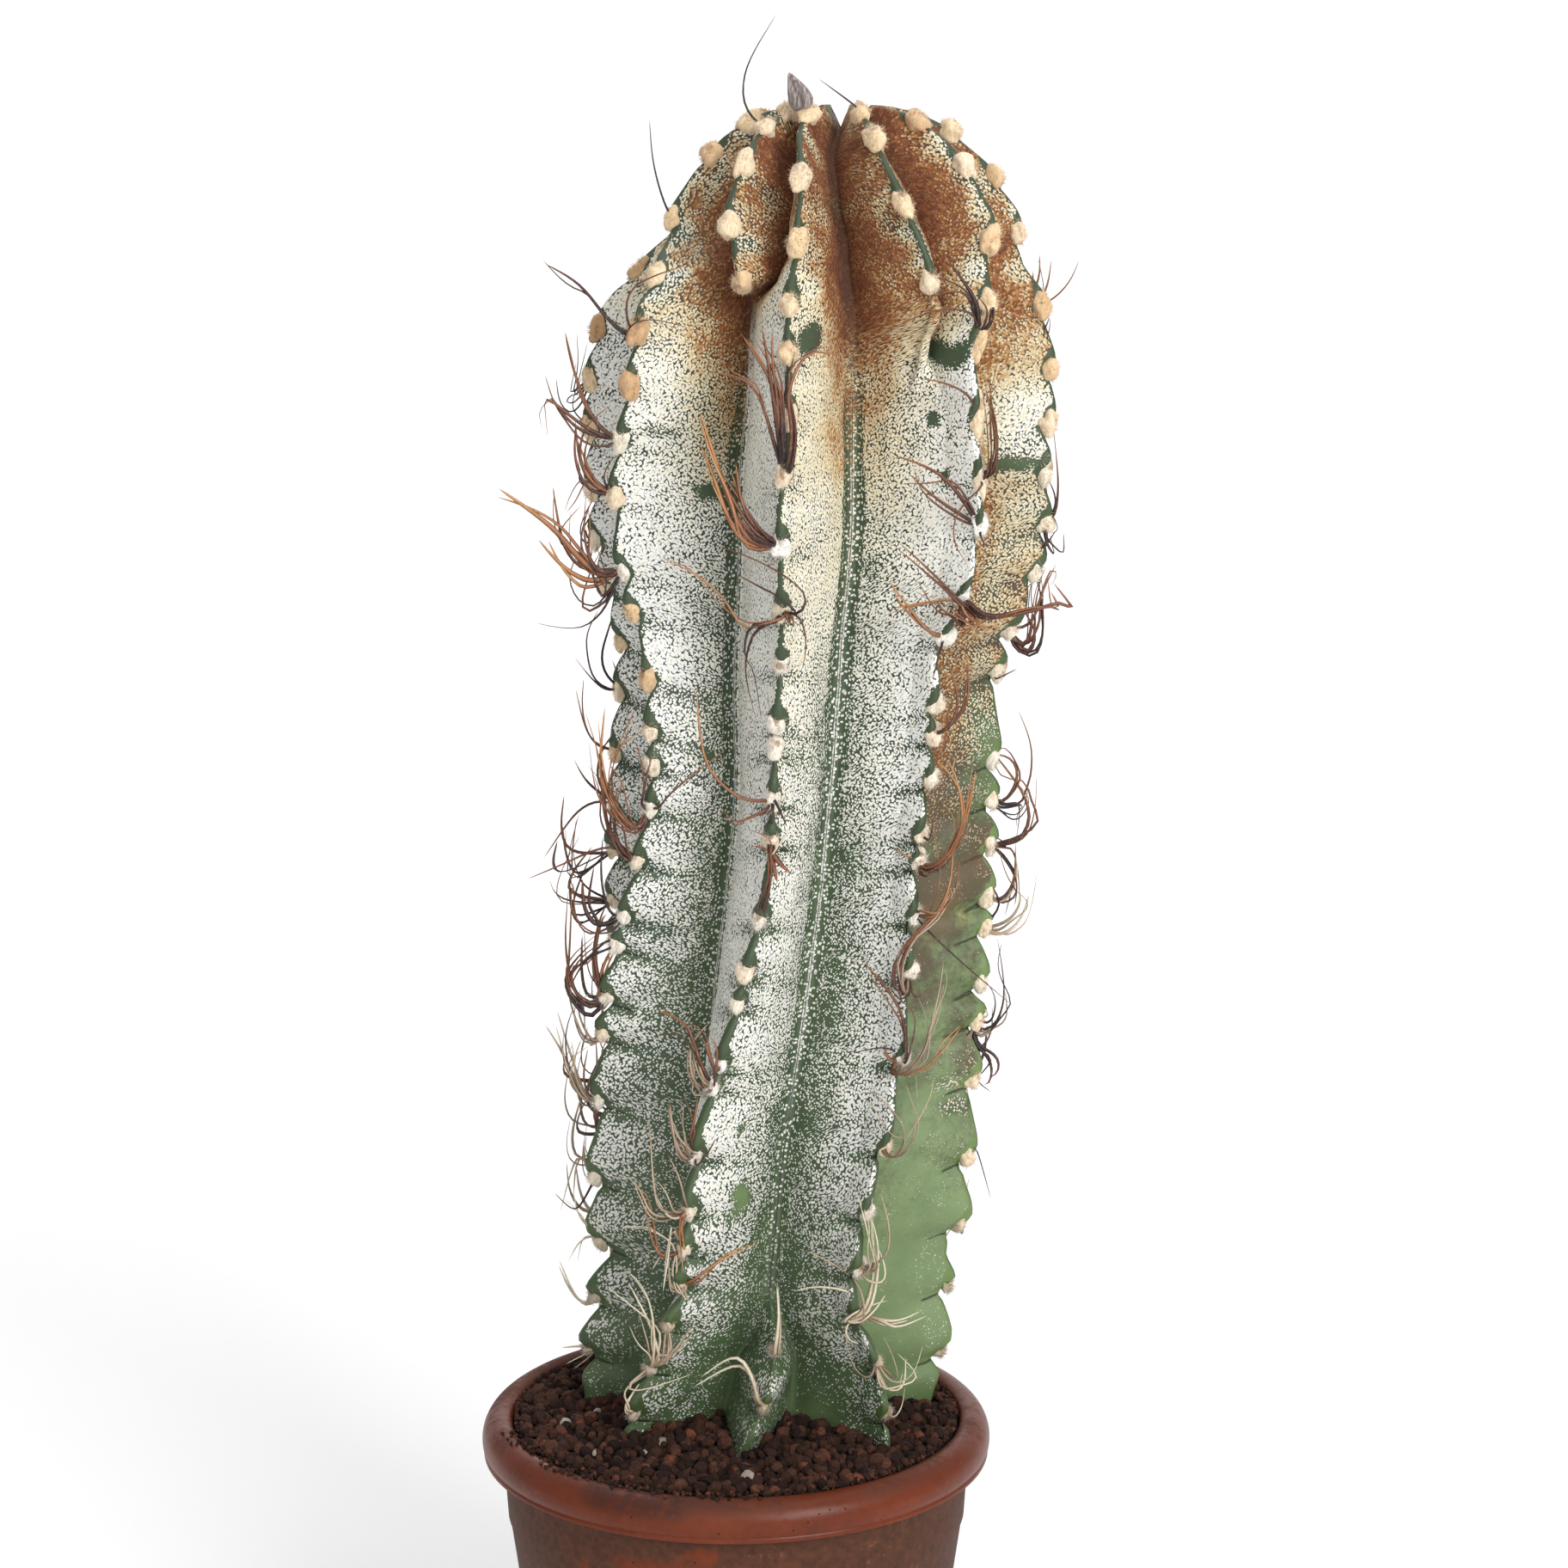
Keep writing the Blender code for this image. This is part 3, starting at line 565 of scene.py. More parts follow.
class Finish:
    """A material and the nodes that make it."""

    def __init__(self, name, **fixed):
        self.material = bpy.data.materials.new(name)
        self.material.use_nodes = True
        self.tree = self.material.node_tree
        self.shader = self.tree.nodes["Principled BSDF"]
        for socket, value in fixed.items():
            self.shader.inputs[socket.replace("_", " ").title()].default_value = value

    def node(self, kind, settings=(), values=(), output=0):
        """Any node: its type, its settings, then the values or wires of its inputs."""
        made = self.tree.nodes.new("ShaderNode" + kind)
        for name, value in dict(settings).items():
            if name == "stops":
                ramp = made.color_ramp
                while len(ramp.elements) < len(value):
                    ramp.elements.new(1)
                for element, (position, colour) in zip(ramp.elements, value):
                    element.position, element.color = position, colour
            else:
                setattr(made, name, value)
        for name, value in dict(values).items():
            join(self.tree, made.inputs[name], value)
        return Wire(self.tree, made.outputs[output])

    def place(self):
        return self.node("TexCoord", output="Object")

    def pattern(self, name):
        """The piece's own UV map."""
        return self.node("UVMap", {"uv_map": name})

    def value(self, name):
        """A named number that the piece's vertices hold."""
        return self.node("Attribute", {"attribute_name": name}, output="Fac")

    def stretched(self, place, scale):
        return self.node("Mapping", {"vector_type": "POINT"}, {"Vector": place, "Scale": scale})

    def cloud(self, place, scale, detail=2.0, roughness=0.5):
        """Smooth noise of 0 to 1."""
        return self.node("TexNoise", {"noise_dimensions": "3D"}, {
            "Vector": place, "Scale": scale, "Detail": detail, "Roughness": roughness,
        })

    def cells(self, place, scale, randomness=1.0, dimensions="3D"):
        """Distance to the nearest of scattered points; its Color output is a random colour for each."""
        return self.node("TexVoronoi", {"voronoi_dimensions": dimensions, "feature": "F1"}, {
            "Vector": place, "Scale": scale, "Randomness": randomness,
        })

    def red(self, colour):
        return self.node("SeparateColor", values={"Color": colour})

    def rise(self, value, low, high):
        """0 at low and 1 at high, smoothly."""
        return self.node("MapRange", {"interpolation_type": "SMOOTHSTEP"}, {
            "Value": value, "From Min": low, "From Max": high,
        })

    def ramp(self, value, *stops):
        return self.node("ValToRGB", {"stops": stops}, {"Fac": value})

    def mix(self, share, first, second, how="MIX"):
        made = self.tree.nodes.new("ShaderNodeMix")
        made.data_type, made.blend_type = "RGBA", how
        for name, value in (("Factor", share), (6, first), (7, second)):
            join(self.tree, made.inputs[name], value)
        return Wire(self.tree, made.outputs[2])

    def bump(self, height, distance, strength=1.0):
        return self.node("Bump", values={"Height": height, "Distance": distance, "Strength": strength})

    def feed(self, **parts):
        """Wires to the shader's own inputs."""
        for name, wire in parts.items():
            join(self.tree, self.shader.inputs[name.replace("_", " ").title()], wire)
        return self.material


# The stem's skin

def rib_columns(k, height, crests, valleys, shares):
    """One rib's outline at every height, from valley to valley: its flat points and their levels."""
    rib = RIBS[k]
    steps = YOUNG_FLANK_STEPS if rib in PRESENCE else FLANK_STEPS
    sink, rise = straight(VALLEY_RISE, height), straight(CREST_RISE, height)
    lift = sink + (rise - sink) * shares[k]
    before, after = valleys[k - 1], valleys[k]
    chord = before - after
    width = np.linalg.norm(chord, axis=-1, keepdims=True)
    side = chord / width
    line = crests[k] - (before + after) / 2
    full = np.linalg.norm(line, axis=-1, keepdims=True)
    out = line / np.maximum(full, 1e-6)
    presence = np.broadcast_to(shares[k], height.shape)
    crest = crests[k] + out * (notched(rib, height) * presence)[:, None]
    reach = np.linalg.norm(crest, axis=-1, keepdims=True)
    half = np.minimum(straight(CREST_HALF, height)[:, None], np.minimum(0.2 * width, 0.1 * reach))
    half = half * (LOW_FRONT_SHARP if rib == "low_front" else 1)
    puff = np.minimum(straight(FLANK_SWELL, height), 0.1 * full[:, 0])[:, None]
    lengths = [np.linalg.norm(crest - end, axis=-1, keepdims=True) for end in (before, after)]
    broad = [np.minimum(length / FULL_FLANK, 1) ** 2 for length in lengths]
    square = line - side * (line * side).sum(-1, keepdims=True)
    stand = np.linalg.norm(square, axis=-1, keepdims=True)
    core = crest - square / np.maximum(stand, 1e-6) * np.minimum(half, stand * 0.5)
    flat, level = [], []
    way = across(crest - before) * puff * broad[0]
    shoulder = core + side * half
    for s in np.arange(steps) / steps:
        flat.append(before + (shoulder - before) * s + way * 4 * s * (1 - s))
        level.append(sink + (lift - sink) * s)
    for turn in np.linspace(0, math.pi, CAP_STEPS + 1):
        flat.append(core + side * half * math.cos(turn) + (crest - core) * math.sin(turn))
        level.append(lift)
    way = across(crest - after) * -puff * broad[1]
    shoulder = core - side * half
    for s in np.arange(steps - 1, -1, -1) / steps:
        flat.append(after + (shoulder - after) * s + way * 4 * s * (1 - s))
        level.append(sink + (lift - sink) * s)
    return np.stack(flat, 1), np.stack(level, 1)


def furrow_turn(rib, height, apart):
    """How far round a place is from one furrow to the next, as the sine and cosine, and that step in mm."""
    above, gap = between_areoles(rib, height + apart * FURROW_FALL + FURROW_DROP)
    turn = 2 * math.pi * above / gap
    return np.sin(turn), np.cos(turn), gap


def furrows(rib, flank, height, apart):
    """How deep a flank is pressed in, in mm, at heights and distances from the crest."""
    depth = straight(FURROW_DEPTH, height)
    near = nearest_areole(rib, height + apart * FURROW_FALL + FURROW_DROP)
    pressed = depth * np.exp(-((near / FURROW_WIDTH) ** 2)) * np.exp(-((apart / FURROW_LENGTH) ** 2))
    for where, side, level, length, deep, fall in CREASES:
        if (where, side) == (rib, flank):
            line = level - fall * apart / length
            fade = 1 - eased(apart, length * 0.6, length)
            pressed = pressed + deep * np.exp(-(((height - line) / CREASE_WIDTH) ** 2)) * fade
    return pressed


def flank_values(rib, flank, height, apart, inside, clouds):
    """Cover, tint and ripeness on one flank, by the mm from its crest, apart, and from its valley, inside."""
    wide, fine, slow = clouds
    table = {**PLAIN_FLANK, **FLANKS.get((rib, flank), {})}
    near, far, near_tint, far_tint, ripe = (
        straight(table[name], height) for name in ("near", "far", "near_tint", "far_tint", "ripe")
    )
    share = inside / np.maximum(inside + apart, 1e-6)
    upper = eased(share, 0.15, 0.8)
    cover = far + (near - far) * upper + 0.15 * wide + 0.1 * fine
    near_furrow = nearest_areole(rib, height + apart * FURROW_FALL + FURROW_DROP)
    bare = np.exp(-((near_furrow / (FURROW_WIDTH * 1.2)) ** 2)) * np.exp(-((apart / FURROW_LENGTH) ** 2))
    cover = cover * (1 - straight(BARE_FURROW, height) * bare)
    tint = far_tint + (near_tint - far_tint) * upper
    high = eased(height, *TOP_RUST)
    patchy = eased(tint, 0.1, 0.5) * (1 - 0.6 * high * (1 - upper))
    tint = tint + ((0.22 + 0.15 * high) * wide + (0.14 + 0.4 * high) * fine) * patchy
    tint = tint - 0.18 * high * eased(share, 0.72, 0.95)
    cover = cover - 0.12 * high
    tint = np.maximum(tint, 0.2 * high)
    ripe = ripe + 0.12 * slow
    for where, side, level, away, half_height, half_width, left, age in PATCHES:
        if (where, side) == (rib, flank):
            spread = np.hypot((height - level) / half_height, (apart - away) / half_width) + 0.5 * fine
            patch = 1 - eased(spread, 1 - PATCH_EDGE, 1 + PATCH_EDGE)
            cover = cover + (left - cover) * patch
            ripe = ripe + (age - ripe) * patch
    return np.clip(cover, 0, 1), np.clip(tint, 0, 1), np.clip(ripe, 0, 1.4)


def edge_width(rib, height):
    """Half the width of the green edge along a crest, wider beside the areoles, in mm."""
    band = straight(FRONT_EDGE_BAND if rib == "front" else EDGE_BAND, height)
    near = (nearest_areole(rib, height) + AREOLE_PATCH_DROP) / AREOLE_PATCH_HALF
    patch = np.sqrt(np.clip(1 - near * near, 0, 1)) * straight(AREOLE_PATCH, height)
    return np.maximum(band, patch)


def valley_between(first, second, crest_at, valley_at):
    """The column of the valley between two ribs, over the ribs between them that aren't there."""
    absent = RIBS[RIBS.index(first) + 1 : RIBS.index(second)]
    pinched = [rib for rib in absent if rib != "upper_right"]
    return crest_at[pinched[0]] if pinched else valley_at[(absent + [second])[0]]


def read_skin(there, run, height, clouds, crest_at, valley_at):
    """What the skin's material reads in every column, for the ribs that are there."""
    count = run.shape[1] - 1
    edges = [valley_between(first, second, crest_at, valley_at) for first, second in zip(there, there[1:])]
    sheet = {name: np.zeros((len(height), count)) for name in (*SKIN_VALUES, "pressed")}
    chart = np.zeros((2, len(height), count, 2))
    climb = {
        pitch: np.cumsum(ROW_STEP / straight(table, height))
        for pitch, table in (("across", FLECK_ACROSS), ("along", FLECK_ALONG))
    }
    for k, (rib, start, end) in enumerate(zip(there, [0] + edges, edges + [count])):
        tip = crest_at[rib]
        for flank, part, valley in ((-1, slice(start, tip), start), (1, slice(tip, end), end)):
            apart = np.abs(run[:, part] - run[:, tip : tip + 1])
            inside = np.abs(run[:, part] - run[:, valley : valley + 1])
            tall = np.broadcast_to(height[:, None], apart.shape)
            pressed = furrows(rib, flank, tall, apart)
            near_clouds = [cloud[:, part] for cloud in clouds]
            cover, tint, ripe = flank_values(rib, flank, tall, apart, inside, near_clouds)
            strip = straight({**PLAIN_FLANK, **FLANKS.get((rib, flank), {})}["strip"], tall)
            sine, cosine, gap = furrow_turn(rib, tall, apart)
            for name, values in (
                ("crest", apart - edge_width(rib, tall)), ("valley", inside * STRIP_UNITS / strip),
                ("inside", inside), ("cover", cover), ("tint", tint), ("ripe", ripe), ("apart", apart),
                ("pressed", pressed), ("groove", -flank * inside + 90 * k),
                ("fold", sine * gap / (2 * math.pi)), ("foldside", cosine),
            ):
                sheet[name][:, part] = values
            for side, columns in enumerate((part, slice(part.start + 1, part.stop + 1))):
                apart = np.abs(run[:, columns] - run[:, tip : tip + 1]) * math.sqrt(0.5)
                across_arc = climb["across"][:, None] * math.sqrt(0.5) + apart / straight(FLECK_ACROSS, tall)
                along_arc = climb["along"][:, None] * math.sqrt(0.5) - apart / straight(FLECK_ALONG, tall)
                along_arc = along_arc + 37 * k + 500 * (flank > 0)
                chart[side][:, part] = np.stack([across_arc + 61 * k, along_arc], -1)
    return sheet, chart


def skin():
    """The ribbed skin as one fine closed sheet, with what its material reads on every vertex."""
    tall = SKIN_TOP - SKIN_FOOT
    height = np.arange(SKIN_FOOT, SKIN_TOP + 0.01, tall / round(tall / ROW_STEP))
    crests, valleys, shares = stem_lines(height)
    centre = axis_at(height)
    flats, levels, crest_at, valley_at = [], [], {}, {}
    count = 0
    for k, rib in enumerate(RIBS):
        flat, level = rib_columns(k, height, crests, valleys, shares)
        valley_at[rib], crest_at[rib] = count, count + flat.shape[1] // 2
        flats.append(flat[:, :-1])
        levels.append(level[:, :-1])
        count += flat.shape[1] - 1
    flat, level = np.concatenate(flats, 1), np.concatenate(levels, 1)
    step = np.linalg.norm(np.roll(flat, -1, 1) - flat, axis=-1)
    run = np.concatenate([np.zeros((len(height), 1)), np.cumsum(step, 1)], 1)
    place = np.concatenate([flat, np.broadcast_to(height[:, None, None], (*flat.shape[:2], 1))], -1)
    clouds = [drift(place, size, seed) for size, seed in ((26, 3), (9, 5), (18, 8))]

    grown = [rib for rib in RIBS if rib not in PRESENCE]
    sheet, chart = read_skin(grown, run, height, clouds, crest_at, valley_at)
    plain = {name: values.copy() for name, values in sheet.items()}
    for young in PRESENCE:
        there = [rib for rib in RIBS if rib in grown or rib == young]
        with_it, _ = read_skin(there, run, height, clouds, crest_at, valley_at)
        share = np.asarray(shares[RIBS.index(young)])[:, None]
        for name, values in with_it.items():
            sheet[name] += (values - plain[name]) * share

    normal = across(np.roll(flat, -1, 1) - np.roll(flat, 1, 1))
    open_valley, open_crest = eased(sheet["inside"], 0, 7), eased(sheet["apart"], 0, 5)
    swell = LUMP * drift(place, 22, 1) * open_valley * open_crest
    swell = swell + SMALL_LUMP * drift(place, 8, 2) * open_valley
    pressed = sheet["pressed"] * eased(sheet["inside"], 0, 6)
    wave = drift(place * (0.02, 0.02, 1), 8, 4) * np.exp(-sheet["apart"] / 5)
    flat = flat + normal * (swell - pressed)[..., None] + across(normal) * (WAVER * wave)[..., None]
    rounding = np.where(sheet["inside"] < 0.01, 0.5, np.where(sheet["inside"] < 4, 0.3, 0))[..., None]
    for _ in range(2):
        flat = flat + ((np.roll(flat, 1, 1) + np.roll(flat, -1, 1)) / 2 - flat) * rounding

    points = np.concatenate([flat + centre[:, None], level[..., None] + SOIL_LEVEL], -1)
    points[0] = (*centre[0], SOIL_LEVEL + SKIN_FOOT)
    points[-1] = (*centre[-1], SOIL_LEVEL + STEM_TOP - 1)
    clear_selection()
    bpy.ops.mesh.primitive_grid_add(x_subdivisions=count, y_subdivisions=len(height) - 1, size=1)
    made = named("stem_skin")
    mesh = made.data

    def wrapped(values):
        return np.concatenate([values, values[:, :1]], 1)

    move_points(mesh, wrapped(points) * MM)
    for name in SKIN_VALUES:
        put_values(mesh, name, wrapped(sheet[name]))
    corner = np.empty(len(mesh.loops), np.int32)
    mesh.loops.foreach_get("vertex_index", corner)
    row, column = np.divmod(corner, count + 1)
    face = column.reshape(-1, 4).min(1).repeat(4)
    spots = np.where((column == face)[:, None], chart[0][row, face], chart[1][row, face])
    mesh.uv_layers[0].name = "flecks"
    mesh.uv_layers[0].data.foreach_set("uv", spots.astype(np.float32).ravel())
    in_edit_mode(close_up)
    return made


def skin_finish():
    paint = Finish("stem_skin", roughness=0.7)
    place, chart = paint.place(), paint.pattern("flecks")
    cover, tint, ripe, crest, apart, valley, inside, groove, fold, foldside = (
        paint.value(name) for name in SKIN_VALUES
    )
    blotch = paint.cloud(place, 1000 / 7, detail=3)
    ragged = paint.cloud(place, 1000 / 2.2, detail=2)
    fine = paint.cloud(place, 1000 / 0.6, detail=2)
    level = paint.node("SeparateXYZ", values={"Vector": place}, output="Z") * 1000 - SOIL_LEVEL

    stray = {"Vector": chart, "Scale": 0.8, "Detail": 1.0}
    wobble = paint.node("TexNoise", {"noise_dimensions": "2D"}, stray).other("Color")
    dots = paint.cells(chart + (wobble - 0.5) * 0.6, 1.0, 0.95, "2D")
    chance = paint.red(dots.other("Color"))
    off_edge = paint.rise(crest + (ragged - 0.5) * 2.2, -0.4, 0.9)
    off_valley = paint.rise(valley + (blotch - 0.5) * 3.5 + (ragged - 0.5) * 1.5, *PLAIN_STRIP)
    plain = 1 - (1 - off_valley) * 0.95 * paint.rise(level, 385, 345)
    amount = (cover + (blotch - 0.5) * 0.5 + (ragged - 0.5) * 0.25) * off_edge * plain
    kept = paint.rise(amount * 1.7 + 0.1 - chance, -0.03, 0.03) * paint.rise(amount, 0.02, 0.12)
    radius = amount * 0.5 + 0.18 + (chance - 0.5) * 0.16 + (ragged - 0.5) * 0.2
    flecks = paint.rise(dots, radius + 0.09, radius - 0.09) * kept

    upright = paint.node("CombineXYZ", values={
        "X": groove / DASH_ACROSS + (ragged - 0.5) * 0.9, "Y": level / DASH_ALONG + (blotch - 0.5) * 2,
    })
    dash = paint.cells(upright, 1.0, 0.85, "2D")
    lined = paint.rise(valley + (blotch - 0.5) * 3, VALLEY_LINES, VALLEY_LINES - 0.8)
    lined = lined * paint.rise(level, 30, 90)
    dashes = paint.rise(dash, 0.36, 0.26) * lined * paint.rise(paint.red(dash.other("Color")), 0.28, 0.32)
    seam = paint.rise(inside + (ragged - 0.5) * 0.9, 0.8, 0.5) * paint.rise(inside, 0.08, 0.25)
    seam = seam * paint.rise(level, 110, 150) * paint.rise(fine, 0.36, 0.5)
    mottled = tint + (ragged - 0.5) * 0.5 + (fine - 0.5) * 0.5 + (chance - 0.5) * 0.3
    velvet = paint.rise(mottled, 0.6, 0.9) * off_edge * plain
    marks = flecks.most(dashes * 0.9).most(seam * 0.75).most(velvet * 0.9)

    skin_green = paint.ramp(
        ripe / 1.4 + (blotch - 0.5) * 0.16 + (fine - 0.5) * 0.06,
        (0.0, tone(48, 63, 49)), (0.21, tone(62, 79, 55)), (0.36, tone(76, 95, 60)),
        (0.54, tone(99, 120, 78)), (0.72, tone(122, 142, 96)), (1.0, tone(176, 184, 104)),
    )
    edge_green = paint.mix(paint.rise(ripe, 0.35, 0.8), tone(54, 68, 40), tone(96, 122, 58))
    green = paint.mix(paint.rise(crest, 1.2, -0.8) * 0.7, skin_green, edge_green)
    # Painted shade: the green is darkened in the furrows below the areoles, low in the valley bottoms and
    # along the line at each valley's floor.
    crease = paint.rise((fold + (ragged - 0.5) * 0.7).size(), 0.5, 0.15) * paint.rise(foldside, 0.2, 0.6)
    crease = crease * paint.rise(apart + (blotch - 0.5) * 12, 12, 8) * paint.rise(level, 290, 230) * 0.8
    low_valley_shade = paint.rise(inside + (ragged - 0.5) * 0.6, 0.6, 0.2) * paint.rise(level, 150, 100)
    line = paint.rise(inside, 0.22, 0.1) * 0.6
    green = paint.mix(crease.most(low_valley_shade * 0.8).most(line), green, tone(24, 30, 22))
    streaks = paint.rise(inside + (ragged - 0.5) * 2.5, 2.4, 0.8)
    streaks = streaks * paint.rise(level + (blotch - 0.5) * 40, 345, 375)
    green = paint.mix(streaks * 0.8, green, tone(96, 62, 40))
    felt = paint.rise(tint + (ragged - 0.5) * 0.2, 0.22, 0.42)
    felt_tone = paint.ramp(tint, (0.3, tone(62, 48, 34)), (0.5, tone(84, 56, 36)), (0.8, tone(116, 62, 36)))
    # Painted shade: the green between the flecks is darkened where they lie dense.
    green = paint.mix(paint.rise(amount, 0.25, 0.85) * 0.6, green, tone(34, 42, 34))
    under = paint.mix(felt * 0.85 * off_edge * plain, green, felt_tone)
    fleck = paint.ramp(
        tint + (chance - 0.5) * (0.16 + 0.26 * paint.rise(tint, 0.35, 0.6)) + (ragged - 0.5) * 0.18,
        (0.0, tone(244, 245, 242)), (0.16, tone(240, 236, 220)), (0.36, tone(226, 212, 176)),
        (0.54, tone(188, 148, 98)), (0.7, tone(154, 98, 56)), (1.0, tone(108, 60, 34)),
    )
    # Painted shade: the flecks turn greyer towards the foot of the stem.
    fleck = paint.mix(paint.rise(level, 150, 20) * 0.5, fleck, tone(196, 194, 184))
    shaded = paint.ramp(fine, (0.3, tone(222, 222, 222)), (0.6, tone(255, 255, 255)))
    fleck = paint.mix(1.0, fleck, shaded, "MULTIPLY")
    fibres = velvet * paint.rise(fine + (ragged - 0.5) * 0.6, 0.56, 0.4)
    fleck = paint.mix(fibres * 0.65, fleck, tone(80, 47, 30))
    colour = paint.mix(marks, under, fleck)
    # Partly the skin's rust and partly painted shade: a dark rust-brown deep in the valleys near the top.
    depth = paint.rise(inside + (ragged - 0.5) * 3, 4.5, 0.5)
    depth = depth * paint.rise(level + (blotch - 0.5) * 40, 355, 392)
    colour = paint.mix(depth * 0.75, colour, tone(66, 42, 30))
    relief = marks * 0.6 + fine * 0.35 + ragged * 0.2 - crease
    return paint.feed(
        base_color=colour,
        roughness=marks * 0.4 + 0.52,
        normal=paint.bump(relief, 0.0006, 0.8),
    )


# Wool and spines

WOOL_SIDE = ((0, 1.9), (100, 2.5), (300, 3.0), (400, 3.4), (470, 3.9))
WOOL_TALL = ((0, 2.4), (100, 3.6), (300, 4.3), (400, 4.9), (470, 5.2))
WOOL_OUT = ((0, 2.2), (100, 2.6), (300, 2.9), (400, 3.4), (470, 4.0))
WOOL_SINK = 0.8
# How brown the wool is, by height, and on the cushions where the photo shows another tone
WOOL_BROWN = ((0, 0.5), (60, 0.3), (200, 0.18), (320, 0.22), (380, 0.44), (420, 0.54), (470, 0.54))
WOOL_TONES = {
    ("front", 321): 0.0, ("right_front", 325): 0.0, ("right_front", 302): 0.0, ("front", 144): 0.0,
    ("front", 136): 0.05, ("front", 280): 0.15, ("front", 260): 0.15, ("front", 252): 0.15,
    ("front", 235): 0.15, ("left", 307): 0.15, ("left", 227): 0.15, ("left", 387): 0.75, ("left", 370): 0.75,
    ("left", 293): 0.62, ("left", 270): 0.66, ("front", 461): 0.55,
}
RIB_BROWN = {"left_back": 0.25, "right": 0.08}
# Cushions that the photo shows drawn out along the crest: how many times as tall
WOOL_DRAWN_OUT = {
    ("right_front", 342): 2.2, ("right_front", 362): 1.9, ("right_front", 387): 1.7, ("right", 339): 1.6,
}
RIBBON_WIDTH = 0.6
KNOT = ("upper_left", 350)
KNOT_SIZE = (2.4, 2.6, 1.6)
HAIRS_EACH = 190
HAIR_LENGTH = (1.0, 2.6)
HAIR_RADIUS = 0.09


def cushion_places():
    """Every cushion as (how brown, height, point, out, side, up, half sizes in mm), in a fixed order."""
    draw = random.Random(DRAW)
    found = []
    for rib in RIBS:
        for height in areole_heights(rib):
            point, out, side, up = crest_place(rib, height)
            usual = [float(straight(table, height)) for table in (WOOL_SIDE, WOOL_TALL, WOOL_OUT)]
            size = [length * draw.uniform(0.8, 1.15) for length in usual]
            drawn_out = WOOL_DRAWN_OUT.get((rib, height), 1)
            size[1] *= drawn_out
            size[0] *= RIBBON_WIDTH if drawn_out > 1 else 1
            brown = float(straight(WOOL_BROWN, height)) + RIB_BROWN.get(rib, 0) + draw.uniform(-0.14, 0.16)
            found.append((WOOL_TONES.get((rib, height), brown), height, point, out, side, up, size))
    found.append((1.0, KNOT[1], *crest_place(*KNOT), KNOT_SIZE))
    return found


def wool(cushions):
    """A lumpy cushion of felted wool on every areole."""
    clear_selection()
    bpy.ops.mesh.primitive_ico_sphere_add(subdivisions=3, radius=1)
    ball = taken(named("cushion"))
    unit = points_of(ball)
    placed, ages, browns, hearts = [], [], [], []
    for k, (brown, height, point, out, side, up, size) in enumerate(cushions):
        lump = 1 + 0.4 * drift(unit, 0.85, k + 11) + 0.14 * drift(unit, 0.35, k + 5)
        frame_of = np.array([side, up, out])
        shape = unit * lump[:, None] * (np.array(size) * MM)
        placed.append(np.array(point) + shape @ frame_of - np.array(out) * WOOL_SINK * MM)
        ages.append(np.full(len(unit), height))
        browns.append(np.full(len(unit), brown))
        hearts.append(unit @ np.array((0, 0.5, 0.87)))
    return copies("wool", ball, np.array(placed), {
        "height": np.array(ages), "brown": np.array(browns), "heart": np.array(hearts),
    })


def hairs(cushions):
    """Fine hairs that stand out of the wool, each a thin three-sided point."""
    clear_selection()
    bpy.ops.mesh.primitive_cone_add(vertices=3, radius1=1, radius2=0, depth=1, location=(0, 0, 0.5))
    bpy.ops.object.transform_apply(location=True)
    blade = taken(named("hair"))
    unit = points_of(blade)
    draw = np.random.default_rng(DRAW)
    placed, ages, browns = [], [], []
    for brown, height, point, out, side, up, size in cushions:
        frame_of = np.array([side, up, out])
        way = draw.normal(size=(HAIRS_EACH, 3))
        way[:, 2] = np.abs(way[:, 2]) * 0.9
        way /= np.linalg.norm(way, axis=1, keepdims=True)
        root = np.array(point) + (way * np.array(size) * 0.9 * MM) @ frame_of - np.array(out) * WOOL_SINK * MM
        lean = way @ frame_of + draw.normal(size=(HAIRS_EACH, 3)) * 0.5
        lean /= np.linalg.norm(lean, axis=1, keepdims=True)
        beside = np.cross(lean, (0.3, 0.2, 1))
        beside /= np.linalg.norm(beside, axis=1, keepdims=True)
        over = np.cross(lean, beside)
        length = draw.uniform(*HAIR_LENGTH, (HAIRS_EACH, 1)) * MM
        axes = np.stack([beside * HAIR_RADIUS * MM, over * HAIR_RADIUS * MM, lean * length], 1)
        placed.append(root[:, None] + unit @ axes)
        ages.append(np.full(HAIRS_EACH * len(unit), height))
        browns.append(np.full(HAIRS_EACH * len(unit), brown))
    placed = np.concatenate(placed)
    return copies("wool_hairs", blade, placed, {
        "height": np.concatenate(ages), "brown": np.concatenate(browns),
        "heart": np.zeros(len(placed) * len(unit)),
    })


